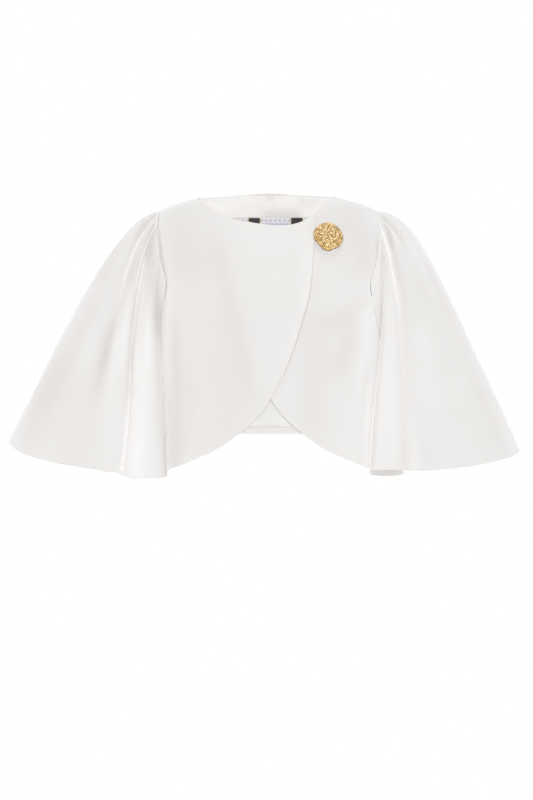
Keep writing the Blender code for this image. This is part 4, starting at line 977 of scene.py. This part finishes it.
class Nodes:
    """A material's node tree, with short ways to add and join nodes."""

    def __init__(self, name, roughness, **settings):
        self.material = bpy.data.materials.new(name)
        self.material.use_nodes = True
        self.tree = self.material.node_tree
        self.shader = self.tree.nodes["Principled BSDF"]
        self.shader.inputs["Roughness"].default_value = roughness
        for key, value in settings.items():
            self.shader.inputs[key.replace("_", " ")].default_value = value
        self.place = self.tree.nodes.new("ShaderNodeTexCoord").outputs["Object"]

    def join(self, start, end):
        self.tree.links.new(start, end)

    def math(self, operation, first, second=0.0):
        """A Math node on two sockets or numbers."""
        node = self.tree.nodes.new("ShaderNodeMath")
        node.operation = operation
        for place, value in zip(node.inputs, (first, second)):
            if isinstance(value, (int, float)):
                place.default_value = value
            else:
                self.join(value, place)
        return node.outputs[0]

    def noise(self, scale, detail=2.0, roughness=0.5, where=None):
        """Soft noise with this many bumps a metre."""
        node = self.tree.nodes.new("ShaderNodeTexNoise")
        node.inputs["Scale"].default_value = scale
        node.inputs["Detail"].default_value = detail
        node.inputs["Roughness"].default_value = roughness
        self.join(where or self.place, node.inputs["Vector"])
        return node.outputs["Fac"]

    def ramp(self, value, *stops):
        """A colour that runs through the stops, each a place and a colour."""
        node = self.tree.nodes.new("ShaderNodeValToRGB")
        bar = node.color_ramp.elements
        while len(bar) < len(stops):
            bar.new(0.5)
        for element, (place, colour) in zip(bar, stops):
            element.position = place
            element.color = (*colour, 1.0)
        self.join(value, node.inputs["Fac"])
        return node.outputs["Color"]

    def mix(self, mask, below, above):
        """The colour above where the mask is 1, and below where it is 0."""
        node = self.tree.nodes.new("ShaderNodeMix")
        node.data_type = "RGBA"
        self.join(mask, node.inputs[0])
        for place, colour in ((node.inputs[6], below), (node.inputs[7], above)):
            if isinstance(colour, tuple):
                place.default_value = (*colour, 1.0)
            else:
                self.join(colour, place)
        return node.outputs[2]

    def colour(self, source):
        self.join(source, self.shader.inputs["Base Color"])

    def bump(self, *layers):
        """Stacked bumps, each a height, its depth in metres and its strength."""
        last = None
        for height, depth, strength in layers:
            node = self.tree.nodes.new("ShaderNodeBump")
            node.inputs["Strength"].default_value = strength
            node.inputs["Distance"].default_value = depth
            self.join(height, node.inputs["Height"])
            if last:
                self.join(last, node.inputs["Normal"])
            last = node.outputs["Normal"]
        self.join(last, self.shader.inputs["Normal"])


def crepe_material(name, pale, shaded):
    """Matt crepe: two close warm whites in clouds, leaning by the tone attribute to the painted shade
    colour, a fine pebbled weave and a slight crinkle.
    """
    nodes = Nodes(
        name, 0.85, Diffuse_Roughness=1.0, Sheen_Weight=0.55, Sheen_Roughness=0.55, Specular_IOR_Level=0.15
    )
    tone = nodes.tree.nodes.new("ShaderNodeAttribute")
    tone.attribute_name = "tone"
    cloud = nodes.ramp(nodes.noise(7.0, 3.0, 0.55), (0.34, shaded), (0.66, pale))
    nodes.colour(nodes.mix(tone.outputs["Fac"], PAINTED_SHADE_COLOUR, cloud))
    crinkle, weave = nodes.noise(110.0, 3.0, 0.6), nodes.noise(1500.0, 1.0)
    nodes.bump((crinkle, 0.0012, 0.12), (weave, 0.0003, 0.35))
    return nodes.material


def satin_material():
    """Lining: cool white satin with a soft shine and fine diagonal threads."""
    nodes = Nodes("satin_lining", 0.45, Diffuse_Roughness=1.0, Sheen_Weight=0.3, Specular_IOR_Level=0.35)
    nodes.colour(nodes.ramp(nodes.noise(12.0, 2.0), *SATIN_TONES))
    nodes.bump((nodes.noise(60.0, 2.0), 0.0015, 0.15), (nodes.noise(2400.0, 1.0), 0.0001, 0.3))
    return nodes.material


def gold_material():
    """Gold-coloured metal with painted shade in its recesses and painted highlights on its tops, and a fine
    hammered grain.
    """
    nodes = Nodes("hammered_gold", 0.38, Metallic=1.0)
    painted_gold_light = nodes.tree.nodes.new("ShaderNodeAttribute")
    painted_gold_light.attribute_name = "painted_gold_light"
    grain = nodes.noise(1500.0, 3.0, 0.6)
    lean = nodes.math("MULTIPLY", nodes.math("SUBTRACT", grain, 0.5), GOLD_GRAIN)
    level = nodes.math("ADD", painted_gold_light.outputs["Fac"], lean)
    nodes.colour(nodes.ramp(level, *GOLD_TONES))
    nodes.bump((grain, 0.0004, 0.6))
    return nodes.material


def label_material():
    """A woven tag: lilac white with a row of small gold spots over fine dark ticks, two black blocks and
    thin gold lines beside them."""
    nodes = Nodes("woven_label", 0.5)
    split = nodes.tree.nodes.new("ShaderNodeSeparateXYZ")
    nodes.join(nodes.place, split.inputs["Vector"])
    x, z = split.outputs["X"], split.outputs["Z"]
    off = nodes.math("ABSOLUTE", nodes.math("SUBTRACT", x, BLOCK_X))
    from_block = nodes.math("ABSOLUTE", nodes.math("SUBTRACT", off, BLOCK_OUT))
    blocks = nodes.math("LESS_THAN", from_block, BLOCK_HALF)
    from_line = nodes.math("ABSOLUTE", nodes.math("SUBTRACT", from_block, BLOCK_HALF))
    lines = nodes.math("LESS_THAN", from_line, LINE_HALF)
    colour = LABEL_WHITE
    for pitch, height, reach, mark in LABEL_MARKS:
        column = nodes.math("SUBTRACT", nodes.math("FRACT", nodes.math("DIVIDE", x, pitch)), 0.5)
        across = nodes.math("MULTIPLY", nodes.math("ABSOLUTE", column), pitch)
        down = nodes.math("ABSOLUTE", nodes.math("SUBTRACT", z, height))
        from_mark = nodes.math("ADD", across, nodes.math("MULTIPLY", down, MARK_SQUASH))
        near = nodes.math("LESS_THAN", from_mark, reach)
        colour = nodes.mix(near, colour, mark)
    colour = nodes.mix(blocks, colour, LABEL_BLACK)
    nodes.colour(nodes.mix(lines, colour, LABEL_GOLD))
    nodes.bump((nodes.noise(3000.0, 1.0), 0.0002, 0.3))
    return nodes.material


def button_place():
    """The point of the form over the button's middle, how far below it the left front lies there, and the
    button's three directions."""
    grid = np.array([[turn_of(BUTTON_X, BUTTON_Z), BUTTON_Z]])
    form, normals = torso(grid[:, 0], grid[:, 1], -1)
    cloth, _ = bodice_points(grid, -1, FRONT_FOLDS, underlap(grid))
    facing = normals[0]
    across = unit(np.cross([0.0, 0.0, 1.0], facing))
    return form[0], float((form[0] - cloth[0]) @ facing), facing, across, np.cross(facing, across)


def rosette_outline(angle):
    """How far the button reaches at each angle."""
    turns = np.radians([row[0] for row in ROSETTE])
    reach = np.array([row[1] for row in ROSETTE])
    turns = np.concatenate([turns - 2 * math.pi, turns, turns + 2 * math.pi])
    return cubic_through(turns, np.tile(reach, 3), angle)


def crumple(x, y, count, seed):
    """A field of small tilted leaves, 0 at their edges and up to 1 on top: where each point stands among
    its two nearest leaf middles."""
    dice = np.random.default_rng(seed)
    order = np.arange(count) + 0.5
    reach = np.sqrt(order / count) * LEAF_REACH
    turn = order * GOLDEN_TURN + dice.normal(0, LEAF_SWAY, count)
    spots = np.stack([reach * np.cos(turn), reach * np.sin(turn)], axis=-1)
    spots += dice.normal(0, LEAF_STRAY / math.sqrt(count), (count, 2))
    tilt = dice.uniform(0, 2 * math.pi, count)
    offset = np.stack([x, y], axis=-1)[..., None, :] - spots
    gap = np.linalg.norm(offset, axis=-1)
    nearest = np.argsort(gap, axis=-1)[..., :2]
    first = np.take_along_axis(gap, nearest[..., :1], -1)[..., 0]
    second = np.take_along_axis(gap, nearest[..., 1:], -1)[..., 0]
    one = nearest[..., 0]
    along = np.take_along_axis(offset, nearest[..., :1, None], -2)[..., 0, :]
    slope = (along[..., 0] * np.cos(tilt[one]) + along[..., 1] * np.sin(tilt[one])) * math.sqrt(count)
    edge = np.clip((second - first) * math.sqrt(count) / EDGE_WIDTH, 0, 1)
    return np.clip(edge**EDGE_POWER * (LEAF_MIDDLE + LEAF_TILT * slope), 0, LEAF_TOP)


def add_button(finish, spokes=300, rings=84):
    """The button: a domed rosette of crumpled leaves inside a ring of smooth petals, on a round shank."""
    middle, sunk, facing, across, upward = button_place()
    foot = 3 * SEAM_GAP - sunk
    angle = np.linspace(0, 2 * math.pi, spokes, endpoint=False)
    share = np.linspace(BUTTON_CORE, 1, rings)[:, None]
    outline = rosette_outline(angle)
    x, y = share * np.cos(angle), share * np.sin(angle)
    uneven = PETAL_UNEVEN * np.sin(2 * angle + PETAL_PHASE)
    wave = 0.5 + 0.5 * np.cos(PETAL_RING * (angle - BUTTON_TURN) + uneven)
    inside = 1 - smooth((share - DOME_END - DOME_WAVE * wave) / DOME_BLEND)
    dome = DOME_FOOT + DOME_RISE * np.sqrt(np.maximum(1 - share**DOME_POWER, 0))
    leaves = crumple(x, y, LEAVES, LEAF_SEED)
    buds = crumple(x, y, BUDS, BUD_SEED)
    petal = PETAL_RISE * wave**PETAL_POWER * smooth((share - PETAL_START) / PETAL_BLEND)
    petal = petal - PETAL_GAP * (1 - wave) ** 2 + RING_BUD_RISE * buds
    height = dome + inside * (LEAF_RISE * leaves + BUD_RISE * buds - LEAF_SINK) + (1 - inside) * petal
    height = BUTTON_THICK * np.minimum(height, BUTTON_TOP)
    # Painted light and shade on the gold: tops of leaves, buds and petals lighter, their edges, rim and
    # shank darker
    ring_tone = RING_TONE + PETAL_TONE * wave + RING_BUD_TONE * buds
    painted_gold_light = inside * (LEAF_TONE * leaves + BUD_TONE * buds) + (1 - inside) * ring_tone
    painted_gold_light = painted_gold_light + UPPER_RIGHT_PAINTED_LIGHT * (x + y) * share
    rows = [(outline * s, BUTTON_BASE + height[k], painted_gold_light[k]) for k, s in enumerate(share[:, 0])]
    rim = height[-1]
    for s, keep in BUTTON_RIM:
        rows.append((outline * s, BUTTON_BASE + rim * keep, np.full(spokes, RIM_TONE)))
    shank = ((SHANK_RADIUS, BUTTON_BASE), (SHANK_RADIUS, foot), (SHANK_RADIUS * SHANK_CORE, foot))
    rows += [(np.full(spokes, radius), np.full(spokes, z), np.zeros(spokes)) for radius, z in shank]
    flat = np.cos(angle)[:, None] * across + np.sin(angle)[:, None] * upward
    points = np.concatenate([middle + flat * r[:, None] + facing * h[:, None] for r, h, _ in rows])
    at = np.arange(len(points)).reshape(len(rows), spokes)
    quads = np.concatenate([strip(at[k], at[k + 1], False) for k in range(len(rows) - 1)])
    caps = []
    for ring, flip in ((at[0], True), (at[-1], False)):
        for k in range(0, spokes - 2, 2):
            quad = (ring[0], ring[k + 1], ring[k + 2], ring[k + 3])
            caps.append(quad[::-1] if flip else quad)
    made = add_mesh("rosette_button", points, np.concatenate([quads, np.array(caps)]), finish)
    mark = made.data.attributes.new("painted_gold_light", "FLOAT", "POINT")
    mark.data.foreach_set("value", np.concatenate([level for _, _, level in rows]).astype(np.float32))
    return made


def build():
    """Every piece of the jacket."""
    crepe = crepe_material("crepe_cloth", *CREPE_TONES)
    # A brighter copy of the crepe that paints light onto the facing and the turned hem inside the back
    inner = crepe_material("facing_crepe_painted_lit", *FACING_PAINTED_LIT_TONES)
    satin = satin_material()

    for name, node, (points, normals), tone, flat, area in (
        ("back_cloth", "back", back_piece(), None, (0.45, 0.475), 0.192),
        ("front_right_cloth", "front_right", front_piece(-1), front_tone(-1), (0.31, 0.475), 0.111),
        ("front_left_cloth", "front_left", front_piece(1), front_tone(1), (0.31, 0.475), 0.108),
    ):
        shell = add_shell(name, points, normals, SHELL, crepe, tone=tone)
        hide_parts(node)
    for node, side, stations in (("sleeve_right", -1, RIGHT_SLEEVE), ("sleeve_left", 1, LEFT_SLEEVE)):
        points, normals, tone = sleeve_piece(node, side, stations)
        inside = TONE_REST - INSIDE_SHADE * smooth((INSIDE_TOP - points[..., 2]) / INSIDE_TURN)
        name = node + "_cloth"
        shell = add_shell(name, points, normals, SHELL, crepe, closed=True, tone=tone, inner=inside)
        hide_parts(node)

    points, normals = inside_back(slice(-1 - FACING_ROWS, None), slice(FACING_SKIP, -FACING_SKIP))
    tone = TONE_FACING - shade(points, "neck_facing")
    facing = add_shell("neck_facing_cloth", points, normals, FACING, inner, tone=tone, inner=tone)
    lining = add_shell("lining_cloth", *inside_back(slice(HEM_ROWS, -FACING_ROWS)), FACING, satin)
    points, normals = inside_back(slice(0, HEM_ROWS + 1))
    # The turned hem's low tone paints shade onto it, inside the back
    tone = np.full(points.shape[:2], TONE_TURN)
    hem = add_shell("hem_turn_cloth", points, normals, FACING, inner, tone=tone, inner=tone)
    label = add_shell("label_cloth", *label_piece(), LABEL_CLOTH, label_material(), gap=0.0)
    for shell, node, slot, flat, area in (
        (facing, "back_neck_facing", "crepe", (0.33, 0.075), 0.0176),
        (lining, "back_lining", "lining", (0.45, 0.43), 0.165),
        (hem, "back_hem_turn", "crepe", (0.465, 0.0113), None),
        (label, "neck_label", "label", (LABEL_WIDTH, LABEL_DROP), None),
    ):
        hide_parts(node)

    button = add_button(gold_material())
    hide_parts("button")


def add_area(name, place, aim, size, power):
    """A soft square lamp that looks at a point."""
    lamp = bpy.data.lights.new(name, "AREA")
    lamp.size = size
    lamp.energy = power
    made = bpy.data.objects.new(name, lamp)
    made.location = place
    made.rotation_euler = (Vector(aim) - Vector(place)).to_track_quat("-Z", "Y").to_euler()
    bpy.context.scene.collection.objects.link(made)


def add_studio():
    """White surroundings, a pale floor at standing height below the shoulders, the lamps and the camera."""
    scene = bpy.context.scene
    scene.view_settings.view_transform = "Standard"
    world = bpy.data.worlds.new("white_studio")
    world.use_nodes = True
    world.node_tree.nodes["Background"].inputs["Color"].default_value = (1.0, 1.0, 1.0, 1.0)
    world.node_tree.nodes["Background"].inputs["Strength"].default_value = WORLD_STRENGTH
    scene.world = world
    world.cycles_visibility.diffuse = False

    place = (0, 0, FLOOR_Z)
    bpy.ops.mesh.primitive_circle_add(vertices=96, radius=FLOOR_RADIUS, fill_type="NGON", location=place)
    floor = bpy.context.object
    floor.name = "studio_floor"
    nodes = Nodes("floor_paint", 0.9)
    nodes.colour(nodes.ramp(nodes.noise(3.0), *FLOOR_TONES))
    floor.data.materials.append(nodes.material)

    for name, place, size, power in LAMPS:
        add_area(name, place, LAMP_AIM, size, power)

    lens = bpy.data.cameras.new("camera")
    lens.lens = CAMERA_LENS
    lens.sensor_width = CAMERA_SENSOR
    camera = bpy.data.objects.new("camera", lens)
    camera.location = CAMERA_PLACE
    camera.rotation_euler = (math.radians(90), 0.0, 0.0)
    scene.collection.objects.link(camera)
    scene.camera = camera


build()
add_studio()
